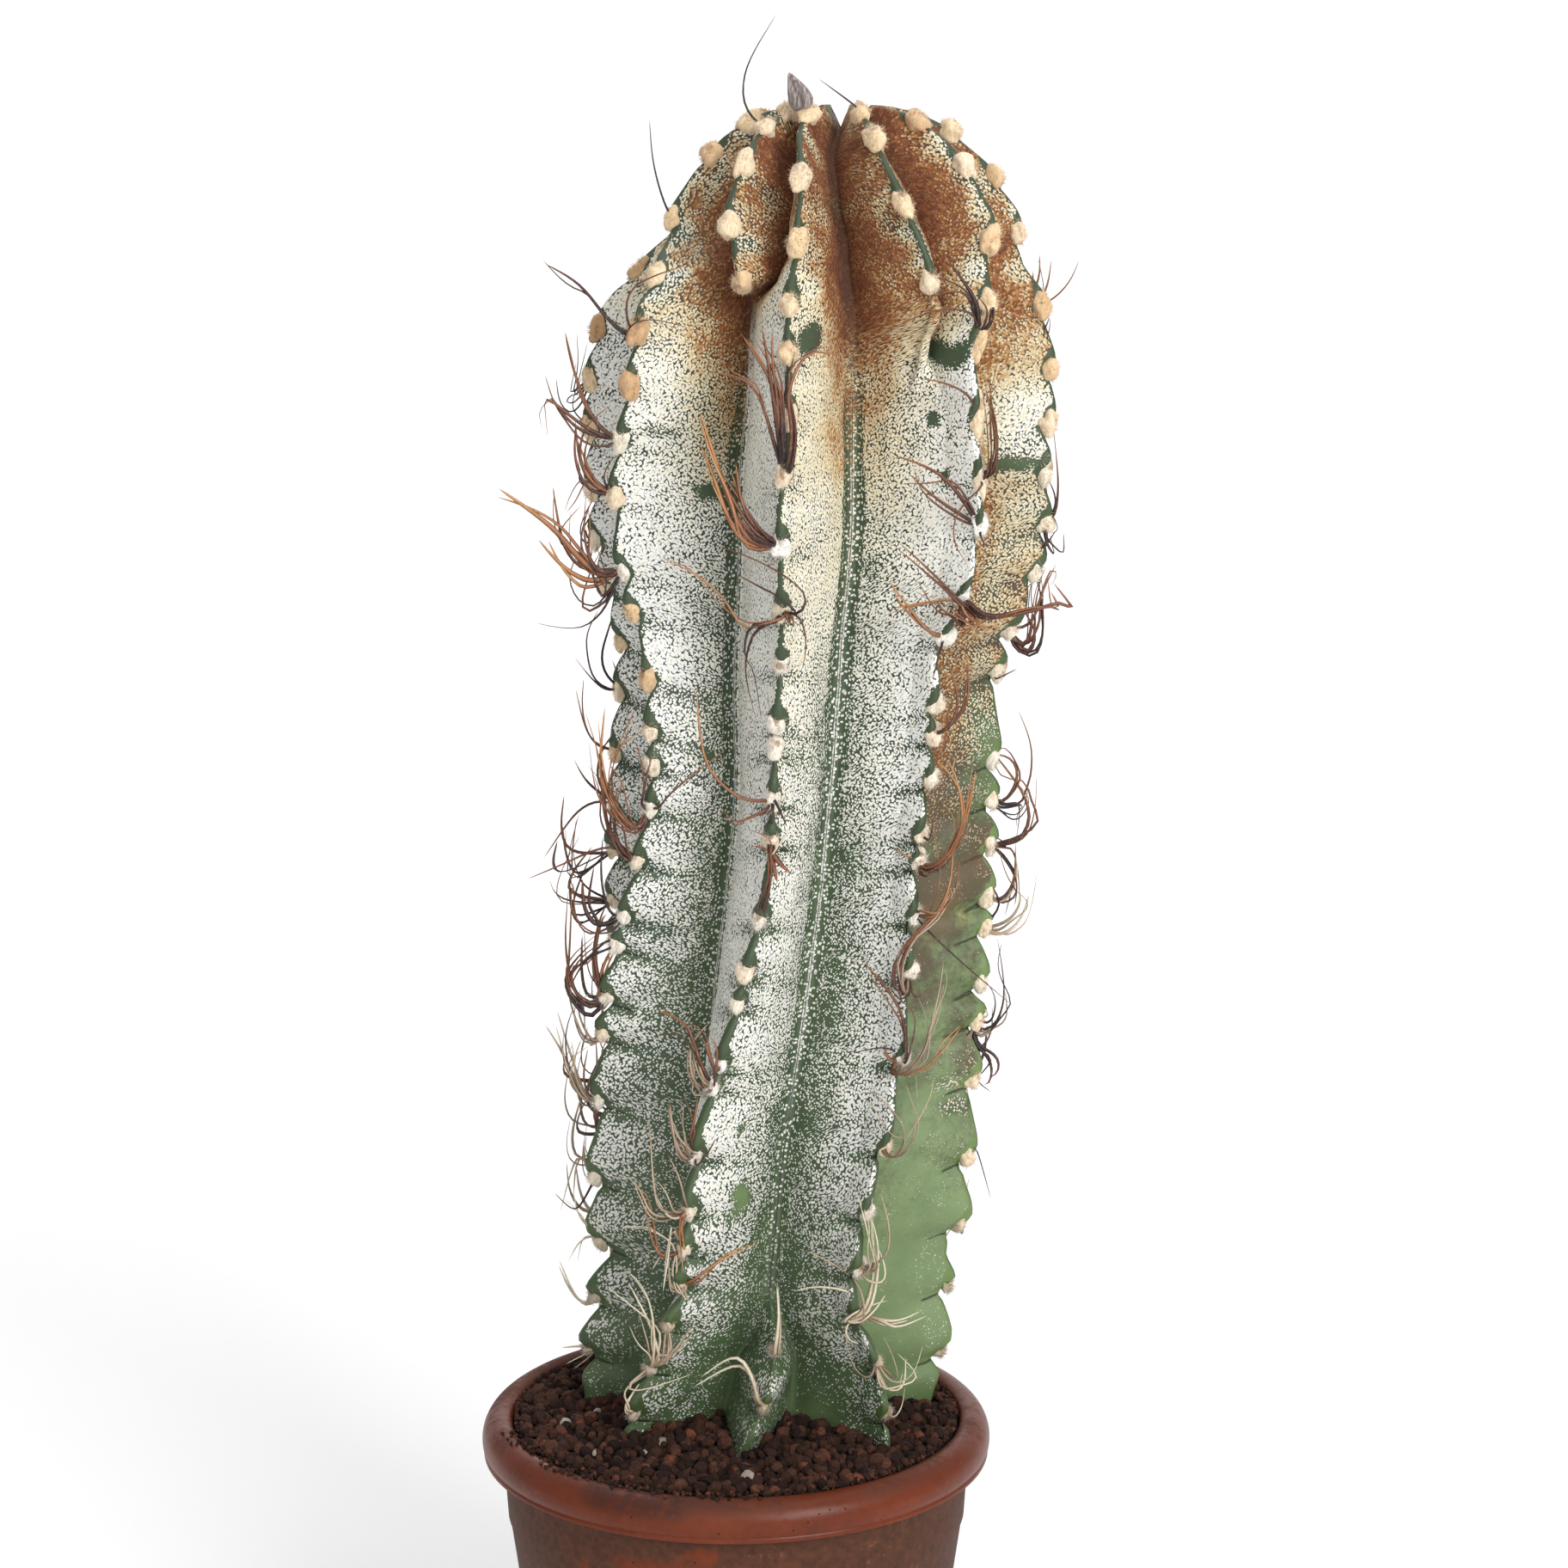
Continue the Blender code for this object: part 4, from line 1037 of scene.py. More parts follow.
def wool_finish():
    paint = Finish("areole_wool", roughness=0.95, sheen_weight=0.25, sheen_roughness=0.5)
    place = paint.place()
    height, brown, heart = paint.value("height"), paint.value("brown"), paint.value("heart")
    puff = paint.cloud(place, 1000 / 2.5, detail=3)
    strands = paint.cloud(paint.stretched(place, (1, 1, 0.35)), 1000 / 0.7, detail=3)
    each = paint.red(paint.cells(place, 1000 / 14).other("Color"))
    colour = paint.ramp(
        brown + (puff - 0.5) * 0.2,
        (0.0, tone(250, 248, 242)), (0.2, tone(242, 233, 216)), (0.45, tone(240, 219, 188)),
        (0.6, tone(234, 204, 162)), (0.78, tone(196, 156, 114)), (1.0, tone(126, 86, 60)),
    )
    colour = paint.mix(paint.rise(height, 110, 30) * 0.7, colour, tone(166, 156, 138))
    centre = paint.rise(heart + (puff - 0.5) * 0.9, 0.78, 1.02) * paint.rise(each, 0.4, 0.7) * 0.8
    colour = paint.mix(centre, colour, tone(136, 98, 72))
    colour = paint.mix(paint.rise(strands, 0.6, 0.4) * 0.3, colour, tone(150, 124, 92))
    return paint.feed(base_color=colour, normal=paint.bump(puff * 0.5 + strands * 0.6, 0.0006, 0.7))


SPINE_SPANS = 15
SPINE_WIDTH = (0.35, 0.85)
SPINE_THICK = 0.28
WIDER, LEAST_WIDTH = 1.1, 0.75
DOUBLED = 1.2
SPINED_SHARE = ((0, 0.95), (290, 0.85), (340, 0.6), (392, 0.25), (420, 0.08), (460, 0.08))
SPINES_EACH = (3, 7)
SPINE_LENGTH = (24, 46)
SPINE_FLOOR = 5
SPINE_KINDS = {"dark": (0, 0), "rust": (0, 0.62), "orange": (0, 1.2), "brown": (0.5, 0.55), "straw": (1, 0.6)}
HEAD_ROOM = 4
STRAND_BULGE = 5

# Spines read off the photo: rib, areole height, kind, width in mm, how many alike, then their run from the
# areole as (right, up) in mm
STRANDS = (
    ("left", 387, "rust", 0.9, 1, ((-3, 1), (-4, 8), (-2, 14), (5, 18), (17, 22))),
    ("left", 387, "dark", 0.8, 1, ((-5, -4), (-4, -1), (-1, 3), (6, 4), (17, 1))),
    ("left", 387, "dark", 1.3, 1, ((-4, -1), (-11, 5), (-16, 12), (-21, 17), (-30, 22))),
    ("left", 351, "rust", 1.3, 1, ((-7, 3), (-12, 13), (-16, 25), (-18, 35))),
    ("left", 351, "rust", 1.3, 1, ((-9, 2), (-17, 8), (-23, 13), (-25, 13), (-25, 11), (-24, 0))),
    ("left", 351, "rust", 0.9, 1, ((-6, -3), (-13, -1), (-18, 6), (-22, 12), (-25, 22))),
    ("left", 332, "rust", 1.4, 2, ((-8, 3), (-12, 12), (-13, 25))),
    ("left", 332, "rust", 1.0, 1, ((-9, 4), (-12, 13), (-10, 23), (-1, 30))),
    ("left", 332, "orange", 1.3, 1, ((-7, 3), (-11, 10), (-12, 18))),
    ("left", 332, "dark", 0.9, 1, ((-4, 4), (-3, 9), (0, 13))),
    ("left", 332, "dark", 0.8, 1, ((-2, 3), (2, 7))),
    ("left", 332, "rust", 0.7, 2, ((-6, 2), (-11, 6), (-15, 0), (-17, -6))),
    ("left", 307, "orange", 2.3, 1, ((-7, -3), (-15, 4), (-22, 13), (-31, 20), (-41, 27))),
    ("left", 307, "orange", 2.1, 1, ((-10, -5), (-18, -1), (-24, 5), (-28, 10))),
    ("left", 307, "rust", 1.4, 1, ((-13, -1), (-19, 6), (-21, 14), (-23, 28))),
    ("left", 307, "rust", 1.5, 2, ((-7, -2), (-11, 3), (-13, 12), (-12, 25))),
    ("left", 307, "rust", 1.2, 1, ((-9, -3), (-15, 2), (-18, 10), (-17, 20))),
    ("left", 307, "rust", 1.0, 1,
     ((-4, -9), (-7, -12), (-12, -15), (-14, -12), (-12, -4), (-9, 3), (-5, 10))),
    ("left", 307, "dark", 0.7, 1, ((-7, -11), (-10, -13), (-15, -11), (-18, -4), (-17, 1), (-14, 7))),
    ("left", 307, "dark", 1.0, 1, ((-4, -9), (-7, -15), (-13, -20), (-21, -20), (-30, -18))),
    ("left", 307, "dark", 1.2, 2, ((-6, -10), (-8, -8), (-11, 1), (-10, 8))),
    ("left", 227, "rust", 1.6, 1, ((-3, -1), (-1, 10), (1, 19))),
    ("left", 227, "rust", 0.9, 1, ((3, -1), (6, 4), (17, 13), (26, 20))),
    ("left", 227, "orange", 1.5, 2, ((-3, -9), (-10, -3), (-14, 6), (-16, 17), (-17, 30))),
    ("left", 227, "orange", 1.4, 1, ((-3, -9), (-8, -4), (-13, 4), (-14, 12), (-11, 20), (0, 28))),
    ("left", 227, "rust", 1.5, 2, ((-3, -9), (-11, -1), (-15, 9), (-18, 20))),
    ("left", 227, "rust", 1.2, 1, ((-3, -9), (-11, -2), (-13, 8), (-11, 20), (-7, 28), (-4, 35))),
    ("left", 227, "rust", 1.0, 1, ((-2, -9), (-8, -9), (-14, -3), (-17, 8), (-16, 18))),
    ("left", 208, "rust", 1.6, 2, ((-7, 3), (-10, 11), (-12, 22), (-12, 32))),
    ("left", 208, "rust", 1.4, 2, ((-5, 2), (-8, 10), (-8, 20), (-6, 26))),
    ("left", 208, "dark", 0.8, 1, ((-9, 6), (-13, 14), (-12, 22), (-15, 30))),
    ("left", 208, "rust", 0.9, 1, ((-8, 5), (-16, 3), (-24, -1), (-38, -7))),
    ("left", 187, "dark", 1.0, 1, ((-5, 0), (-8, 13), (-7, 28))),
    ("left", 187, "dark", 1.9, 1, ((-8, -4), (-12, -1), (-14, 5), (-14, 13))),
    ("left", 187, "rust", 0.8, 2, ((-6, -5), (-13, -7), (-17, 0), (-17, 12))),
    ("left", 176, "dark", 1.0, 2, ((-3, 2), (-8, -3), (-14, -8), (-18, -15))),
    ("left", 156, "rust", 1.7, 1, ((-4, 4), (-5, 14), (-3, 26), (0, 33))),
    ("left", 156, "rust", 1.4, 1, ((-5, -4), (-14, 4), (-13, 15), (-12, 37))),
    ("left", 156, "rust", 1.2, 1, ((2, 10), (10, 17), (14, 20))),
    ("left", 156, "dark", 1.5, 1, ((-6, -9), (-13, -1), (-15, 6), (-12, 12), (-4, 20))),
    ("left", 156, "rust", 1.4, 2, ((-5, -5), (-11, 0), (-13, 8), (-8, 15), (0, 20))),
    ("left", 156, "orange", 1.3, 2, ((-3, 0), (-3, 6), (0, 14), (3, 18))),
    ("left", 142, "brown", 1.2, 2, ((-3, -4), (-7, 2), (-9, 9), (-8, 16))),
    ("left", 142, "brown", 1.0, 1, ((-6, -4), (-10, 6), (-12, 14), (-11, 20))),
    ("left", 117, "brown", 1.5, 2, ((-6, -1), (-11, 11), (-15, 27))),
    ("left", 117, "brown", 1.2, 2, ((-4, -1), (-8, 7), (-9, 14), (-6, 22))),
    ("left", 117, "rust", 1.0, 1, ((-3, -1), (-6, 8), (-4, 18))),
    ("left", 117, "dark", 0.7, 1, ((-8, 3), (-11, 12), (-12, 24), (-8, 35))),
    ("left", 87, "rust", 1.3, 1, ((3, 9), (0, 23), (1, 42), (0, 54))),
    ("left", 87, "brown", 0.9, 1, ((-2, 9), (-7, 6), (-8, -7))),
    ("left", 87, "brown", 0.9, 1, ((-5, 8), (-8, 5), (-13, -14))),
    ("left", 87, "dark", 0.9, 1, ((-5, -10), (-8, -13), (-15, -6))),
    ("left", 87, "brown", 0.8, 1, ((-1, 5), (-4, 10), (-3, 15))),
    ("left", 62, "straw", 0.9, 2, ((-3, 2), (-8, 0), (-12, -8))),
    ("left", 62, "straw", 0.9, 2, ((-2, 3), (-8, 8), (-10, 18))),
    ("left", 42, "straw", 1.0, 2, ((-4, -3), (-9, 2), (-13, 12))),
    ("left", 23, "straw", 1.2, 1, ((3, 8), (3, -1), (-6, -8))),
    ("left", 23, "straw", 1.0, 1, ((-3, 1), (-10, 0))),
    ("left_back", 366, "dark", 0.6, 1, ((-7, -6), (-7, -4), (-5, 5))),
    ("left_back", 366, "dark", 0.9, 1, ((-5, -9), (-9, -9), (-7, -6), (-3, -6))),
    ("left_back", 366, "dark", 0.6, 1, ((-3, -9), (-7, -13), (-11, -9), (-12, 0))),
    ("left_back", 366, "dark", 0.5, 2, ((-6, -8), (-3, 4), (-1, 12))),
    ("left_back", 349, "dark", 0.6, 1, ((-6, 5), (-6, 10), (-3, 17))),
    ("left_back", 335, "dark", 0.7, 2, ((-4, 3), (-5, 10))),
    ("left_back", 310, "dark", 0.8, 2, ((-4, -3), (-6, 2), (-4, 8), (0, 15), (4, 25))),
    ("left_back", 252, "dark", 1.0, 1, ((-5, 4), (-7, 11), (-4, 21), (-1, 30))),
    ("left_back", 252, "dark", 0.8, 1, ((-3, -1), (-10, 3), (-12, 15), (-11, 21), (-7, 28))),
    ("left_back", 252, "dark", 0.8, 1, ((-5, -1), (-10, 3), (-16, 11))),
    ("left_back", 230, "rust", 0.7, 1, ((-7, 2), (-11, 8), (-14, 22))),
    ("left_back", 230, "rust", 0.7, 1, ((-6, 1), (-10, 6), (-12, 15), (-11, 26))),
    ("left_back", 223, "dark", 1.1, 1, ((-4, 3), (-10, 8), (-14, 16))),
    ("left_back", 223, "rust", 0.9, 2, ((-3, 3), (-6, 9), (-5, 17), (-1, 24), (5, 29))),
    ("left_back", 223, "rust", 0.9, 1, ((-6, 1), (-12, -2), (-17, -8), (-25, -20))),
    ("upper_left", 453, "dark", 0.9, 1, ((-6, 5), (-8, 12), (-6, 22), (4, 38))),
    ("left", 421, "dark", 0.7, 1, ((-3, 4), (-7, 18), (-8, 33))),
    ("upper_right", 462, "dark", 0.4, 1, ((-1, 2), (-3, 4), (-14, 12))),
    ("front", 344, "rust", 1.2, 1, ((-4, 14), (-8, 26), (-12, 30), (-18, 32), (-24, 33))),
    ("front", 344, "rust", 1.7, 1, ((-2, 15), (-5, 37), (-7, 48))),
    ("front", 344, "rust", 1.6, 1, ((-1, 15), (-4, 31), (-12, 44))),
    ("front", 344, "rust", 1.3, 1, ((0, 15), (-1, 29), (-10, 45))),
    ("front", 344, "rust", 1.6, 1, ((2, 4), (3, 15), (1, 24), (4, 34), (9, 40), (17, 38))),
    ("front", 344, "dark", 1.4, 2, ((0, 10), (-1, 22), (-3, 33))),
    ("front", 321, "rust", 1.7, 1, ((-8, 5), (-12, 12), (-16, 24))),
    ("front", 321, "orange", 1.9, 1, ((-10, 0), (-16, 12), (-21, 28), (-26, 44))),
    ("front", 321, "orange", 1.8, 1, ((-11, -1), (-17, 8), (-22, 24), (-26, 33))),
    ("front", 321, "rust", 1.7, 2, ((-7, 2), (-14, 12), (-20, 24))),
    ("front", 321, "dark", 1.2, 1, ((-5, 0), (-12, 4), (-18, 12))),
    ("front", 299, "orange", 1.5, 1,
     ((2, -3), (-6, -4), (-10, -5), (-17, -1), (-23, 5), (-28, 13), (-37, 17))),
    ("front", 299, "rust", 1.0, 1, ((5, -2), (8, 1), (8, 5), (3, 10), (-7, 16), (-20, 21))),
    ("front", 299, "dark", 0.9, 1, ((6, -2), (3, 1), (-2, 5), (-6, 7), (-15, 12))),
    ("front", 299, "rust", 0.9, 1, ((6, -2), (8, -8), (8, -14), (7, -19))),
    ("front", 299, "dark", 1.4, 1, ((-1, -4), (-8, -6), (-11, -13), (-12, -21), (-8, -37))),
    ("front", 299, "rust", 1.9, 1, ((2, -2), (3, -5))),
    ("front", 235, "orange", 1.1, 1, ((-3, -1), (-11, 0), (-18, 6), (-22, 12), (-24, 22), (-25, 38))),
    ("front", 235, "rust", 1.2, 1, ((-2, -4), (-7, -6), (-11, -8), (-14, -7), (-17, -3))),
    ("front", 235, "dark", 1.7, 1, ((0, -4), (0, -9))),
    ("front", 221, "rust", 2.3, 1, ((0, -4), (1, -9), (2, -14))),
    ("front", 221, "straw", 0.9, 1, ((-1, -8), (2, -2), (6, 3))),
    ("front", 194, "rust", 1.7, 1, ((2, 5), (4, 14), (4, 22), (2, 25), (-3, 25))),
    ("front", 144, "rust", 1.6, 1, ((-1, -4), (-4, 5), (-5, 8))),
    ("front", 136, "rust", 1.5, 1, ((-3, 4), (-7, 19), (-12, 24), (-19, 26))),
    ("front", 136, "brown", 1.2, 1, ((-6, -1), (-9, 7), (-7, 15), (0, 23))),
    ("front", 136, "rust", 1.2, 1, ((1, 0), (1, 8), (-4, 18), (-7, 20))),
    ("front", 136, "brown", 1.3, 2, ((-3, 2), (-5, 10), (-8, 17))),
    ("front", 136, "dark", 0.6, 1, ((-6, 12), (-11, 19), (-19, 17))),
    ("front", 136, "brown", 1.2, 1, ((-1, -3), (-5, -2), (-7, 6), (-6, 14))),
    ("front", 111, "brown", 1.6, 2, ((-4, -2), (-8, 9), (-9, 17))),
    ("front", 111, "brown", 1.5, 2, ((-3, 0), (-6, 8), (-9, 15))),
    ("front", 111, "rust", 1.3, 1, ((-2, 6), (0, 13), (1, 21))),
    ("front", 111, "dark", 0.9, 1, ((0, -5), (5, 2), (7, 6))),
    ("front", 91, "brown", 1.2, 1, ((-10, -1), (-12, 11), (-13, 30))),
    ("front", 91, "brown", 1.0, 1, ((-5, -1), (-7, 6), (-11, 11))),
    ("front", 91, "brown", 0.9, 1, ((-1, 3), (-3, 12), (-7, 20))),
    ("front", 91, "brown", 1.2, 1, ((-12, -3), (-16, 7), (-19, 11))),
    ("front", 91, "straw", 1.1, 1, ((-4, -3), (-8, -1), (-11, 5))),
    ("front", 91, "orange", 1.3, 2, ((-3, -4), (-1, -17))),
    ("front", 77, "orange", 1.3, 1, ((-7, -3), (-11, 3), (-13, 15), (-17, 23))),
    ("front", 77, "straw", 1.8, 1, ((-4, 9), (-6, 0), (-7, -11))),
    ("front", 63, "straw", 1.2, 1, ((-2, 1), (-1, 7), (-2, 15), (-8, 19), (-16, 21), (-23, 19))),
    ("front", 63, "straw", 1.4, 1, ((-3, -2), (-4, 4), (-4, 11), (-6, 12), (-10, 5))),
    ("front", 63, "orange", 1.2, 1, ((3, 1), (8, 5), (15, 10), (23, 13))),
    ("front", 63, "straw", 1.2, 1, ((1, -3), (-2, -2), (-3, 6))),
    ("front", 32, "straw", 1.2, 1, ((1, 1), (2, 10), (1, 22), (-2, 30), (-8, 36))),
    ("front", 32, "straw", 1.2, 1, ((4, 3), (2, 11), (0, 17), (-7, 31))),
    ("front", 32, "straw", 1.0, 1, ((1, 5), (-4, 9), (-7, 16))),
    ("front", 32, "brown", 1.0, 1, ((0, 8), (-2, 15), (-4, 22))),
    ("front", 32, "brown", 1.6, 2, ((5, 3), (7, 7), (6, 16))),
    ("front", 32, "brown", 1.2, 2, ((4, 2), (11, 8), (15, 13))),
    ("front", 32, "straw", 1.1, 1, ((-3, -2), (-8, -6), (-5, -8), (4, -6), (15, -2))),
    ("front", 14, "straw", 1.3, 1, ((-1, 1), (-3, 2), (-2, 5), (2, 11))),
    ("front", 14, "straw", 1.0, 1, ((-3, 0), (-3, 4), (0, 8))),
    ("low_front", 38, "straw", 1.7, 1, ((0, -2), (2, 12), (1, 24))),
    ("low_front", 22, "straw", 1.7, 1, ((-2, 2), (-3, 9), (-7, 18), (-12, 18), (-22, 10))),
    ("right_front", 387, "dark", 1.5, 1, ((0, 9), (-5, 17), (-10, 24))),
    ("right_front", 387, "rust", 0.8, 1, ((-1, 6), (-6, 8), (-13, 8), (-22, 5), (-28, 2))),
    ("right_front", 387, "rust", 0.9, 1, ((-3, 13), (-9, 14), (-15, 12), (-22, 10), (-27, 8))),
    ("right_front", 387, "dark", 0.9, 1, ((2, 3), (3, 8), (0, 12))),
    ("right_front", 387, "dark", 1.3, 1, ((4, 3), (5, 8), (4, 9), (3, 6))),
    ("right_front", 362, "rust", 0.9, 1, ((-2, 5), (-7, 8), (-12, 10), (-18, 11))),
    ("right_front", 342, "rust", 1.3, 2, ((3, -3), (3, 12), (1, 28))),
    ("right_front", 342, "rust", 1.4, 1, ((4, 0), (4, 13), (3, 25), (6, 36))),
    ("right_front", 342, "rust", 1.3, 2, ((5, 0), (6, 12), (4, 21), (2, 28))),
    ("right_front", 342, "rust", 0.8, 1, ((2, -4), (-4, -9), (-8, -15), (-8, -23), (-3, -30))),
    ("right_front", 325, "rust", 1.4, 1, ((-4, 6), (-10, 14), (-17, 19), (-28, 23))),
    ("right_front", 325, "rust", 1.3, 1, ((-6, 3), (-15, 9), (-22, 16))),
    ("right_front", 325, "dark", 0.9, 1, ((1, -6), (4, -8))),
    ("right_front", 302, "rust", 1.2, 1, ((2, -7), (-4, 0), (-13, 8), (-21, 15))),
    ("right_front", 302, "orange", 1.9, 2, ((5, -12), (0, -8), (-6, -3), (-12, -3), (-25, -7))),
    ("right_front", 302, "rust", 1.8, 1, ((1, -13), (-2, -9), (-8, -4), (-15, 1))),
    ("right_front", 302, "rust", 1.8, 2, ((5, -9), (14, -7), (25, -4), (31, -5), (32, -4), (29, 1))),
    ("right_front", 302, "orange", 1.0, 1, ((7, -14), (13, -9))),
    ("right_front", 288, "orange", 1.2, 1, ((-3, -1), (-7, 2), (-13, 10), (-19, 18))),
    ("right_front", 288, "dark", 0.9, 1, ((-2, -6), (-4, -15))),
    ("right_front", 254, "rust", 1.1, 1, ((2, 0), (5, 2), (8, 7), (8, 15), (4, 26))),
    ("right_front", 254, "rust", 1.2, 1, ((3, 0), (10, 7), (12, 15), (11, 23), (6, 26))),
    ("right_front", 221, "dark", 1.0, 1, ((3, -4), (4, 5), (6, 10), (11, 14))),
    ("right_front", 212, "orange", 2.1, 1, ((3, -5), (10, 1), (16, 15), (13, 26), (5, 35))),
    ("right_front", 212, "orange", 1.4, 2, ((3, -5), (13, 5), (17, 17), (19, 30))),
    ("right_front", 212, "rust", 1.5, 1, ((2, -4), (8, -1), (13, 6), (15, 16), (13, 25))),
    ("right_front", 212, "orange", 1.3, 1, ((2, -4), (9, 0), (13, 9), (14, 20))),
    ("right_front", 212, "dark", 1.0, 1, ((3, -5), (9, -3), (12, 3))),
    ("right_front", 212, "orange", 0.8, 1, ((-4, 1), (-8, 4))),
    ("right_front", 193, "orange", 1.2, 1, ((5, -1), (8, 1), (12, 10), (13, 22))),
    ("right_front", 193, "orange", 1.1, 1, ((5, -1), (9, 12), (7, 25), (6, 32))),
    ("right_front", 193, "dark", 0.6, 1, ((5, -6), (20, -20), (34, -32))),
    ("right_front", 174, "rust", 1.7, 2,
     ((-1, -12), (-4, -4), (-3, 3), (1, 12), (8, 18), (13, 25), (15, 40))),
    ("right_front", 174, "brown", 1.3, 1, ((-1, -11), (-3, -3), (-2, 5), (3, 13), (9, 18), (14, 27))),
    ("right_front", 174, "rust", 0.7, 1, ((1, -11), (7, -6), (12, -3))),
    ("right_front", 144, "brown", 1.3, 1, ((-4, -6), (3, -5), (8, 2), (10, 11), (13, 24), (14, 33))),
    ("right_front", 144, "brown", 1.2, 1, ((-4, -6), (2, -5), (8, 4), (12, 15), (14, 26))),
    ("right_front", 144, "orange", 1.5, 1, ((-4, -6), (3, -6), (9, -3), (14, 2), (20, 10))),
    ("right_front", 144, "brown", 1.1, 2, ((-4, -6), (5, -3), (9, 7), (9, 12), (5, 22))),
    ("right_front", 144, "rust", 1.3, 2, ((2, -2), (1, 12), (-2, 20), (-13, 33))),
    ("right_front", 144, "rust", 1.5, 1, ((-4, -2), (-6, 4))),
    ("right_front", 144, "dark", 0.6, 1, ((-5, 4), (-17, 1))),
    ("right_front", 113, "brown", 1.4, 1, ((-1, -3), (4, -4), (7, 3), (6, 8), (0, 16), (-12, 24))),
    ("right_front", 113, "brown", 1.2, 2, ((-1, -3), (5, -4), (9, 1), (11, 15), (10, 26))),
    ("right_front", 71, "straw", 1.2, 2, ((6, 0), (4, 7), (2, 16), (-1, 27))),
    ("right_front", 71, "straw", 1.1, 1, ((3, -2), (5, 8), (4, 18))),
    ("right_front", 71, "straw", 1.0, 1, ((2, -4), (8, -5), (9, 0), (6, 8))),
    ("right_front", 71, "brown", 0.9, 1, ((6, 2), (10, 7), (10, 16), (7, 27))),
    ("right_front", 53, "straw", 1.8, 1, ((-6, -2), (0, -1), (4, 8), (5, 22), (3, 38))),
    ("right_front", 53, "straw", 1.4, 1, ((-6, -2), (0, -3), (5, 1), (9, 7))),
    ("right_front", 53, "brown", 1.1, 1, ((-5, -3), (1, -3), (2, 2), (0, 11), (-7, 17), (-19, 23))),
    ("right_front", 53, "straw", 1.0, 1, ((-5, -4), (-4, -9), (0, -11))),
    ("right_front", 53, "straw", 1.0, 1, ((-2, 8), (-9, 10), (-16, 10), (-23, 8))),
    ("right_front", 53, "straw", 1.6, 2, ((8, -2), (14, -2), (21, 1))),
    ("right_front", 35, "brown", 1.0, 1, ((-2, -6), (-7, -3), (-10, 5), (-11, 13))),
    ("right_front", 35, "straw", 1.2, 2, ((2, -9), (8, -10), (10, -6), (10, 2))),
    ("right_front", 35, "straw", 1.0, 1, ((4, -6), (8, -7), (13, -4), (16, 6))),
    ("right_front", 35, "brown", 0.9, 1, ((8, -7), (6, 2), (2, 10))),
    ("right_front", 15, "straw", 1.1, 1, ((3, -2), (6, 2), (7, 9))),
    ("right", 372, "dark", 1.2, 1, ((-2, 2), (-8, 3), (-15, 4), (-22, 5))),
    ("right", 372, "dark", 1.2, 1, ((0, -5), (-1, 2), (-2, 8), (-2, 12), (0, 17))),
    ("right", 320, "rust", 1.4, 1, ((-2, 4), (-5, 15), (-8, 27))),
    ("right", 320, "rust", 1.2, 1, ((2, 1), (0, 11), (-1, 23), (-1, 32))),
    ("right", 320, "rust", 0.7, 1, ((-3, 4), (-5, 9), (-10, 15), (-13, 26), (-18, 39))),
    ("right", 320, "dark", 1.3, 1, ((-3, 0), (-9, 3))),
    ("right", 320, "dark", 0.9, 1, ((1, 2), (3, 2), (5, -3), (2, -4))),
    ("right", 320, "dark", 0.8, 1, ((3, 3), (4, 8), (1, 15))),
    ("right", 320, "dark", 1.2, 2, ((0, -3), (1, -8), (4, -12), (3, -9), (2, -4))),
    ("right", 282, "dark", 1.0, 2, ((3, -7), (9, -9), (12, -2), (11, 7), (10, 20))),
    ("right", 282, "rust", 1.4, 2, ((4, -7), (8, -8), (9, 0), (9, 10), (12, 21))),
    ("right", 282, "rust", 1.5, 2, ((4, -6), (7, -4), (8, 5), (9, 14), (13, 22))),
    ("right", 282, "dark", 1.0, 1, ((3, -6), (8, -5), (11, 3), (12, 12), (10, 22))),
    ("right", 282, "rust", 1.0, 1, ((8, 1), (11, 12), (14, 21), (16, 20), (16, 17), (13, 14))),
    ("right", 267, "dark", 1.1, 1, ((-1, -4), (3, -2), (7, 0))),
    ("right", 221, "rust", 1.2, 1, ((5, -1), (9, 6), (9, 12), (5, 16), (-4, 16))),
    ("right", 221, "rust", 0.9, 1, ((10, -3), (12, 3), (14, 9), (14, 20), (9, 32))),
    ("right", 221, "dark", 1.3, 1, ((5, -2), (9, -1), (10, -2), (10, -8), (9, -14))),
    ("right", 221, "dark", 0.8, 2, ((3, -4), (9, -6), (12, -2), (13, 5))),
    ("right", 205, "rust", 1.3, 1, ((10, 1), (14, 8), (13, 15), (10, 21), (4, 29), (-1, 35))),
    ("right", 205, "rust", 0.7, 1, ((8, 0), (14, 4), (16, 15), (16, 25))),
    ("right", 205, "dark", 0.9, 2, ((4, -3), (8, -9), (10, -14), (9, -22))),
    ("right", 205, "rust", 0.8, 1, ((5, -1), (8, -1), (10, -8), (11, -21))),
    ("right", 205, "dark", 0.6, 1, ((8, -1), (2, 3), (-6, 8))),
    ("right", 187, "rust", 1.3, 1, ((5, -2), (9, 3), (10, 9), (10, 19))),
    ("right", 187, "straw", 0.9, 1, ((5, -3), (9, 1), (11, 7), (10, 16))),
    ("right", 176, "straw", 1.2, 1, ((1, -2), (6, -3), (11, 0), (14, 5), (16, 12))),
    ("right", 176, "brown", 1.2, 1, ((4, 0), (10, 3), (13, 9), (12, 14))),
    ("right", 176, "dark", 0.8, 1, ((6, 7), (4, 13), (-1, 18), (-8, 21))),
    ("right", 143, "dark", 0.9, 2, ((0, -3), (4, -4), (8, 0), (10, 8), (9, 19), (7, 30))),
    ("right", 143, "dark", 0.9, 1, ((5, -2), (7, 5), (6, 10), (3, 14))),
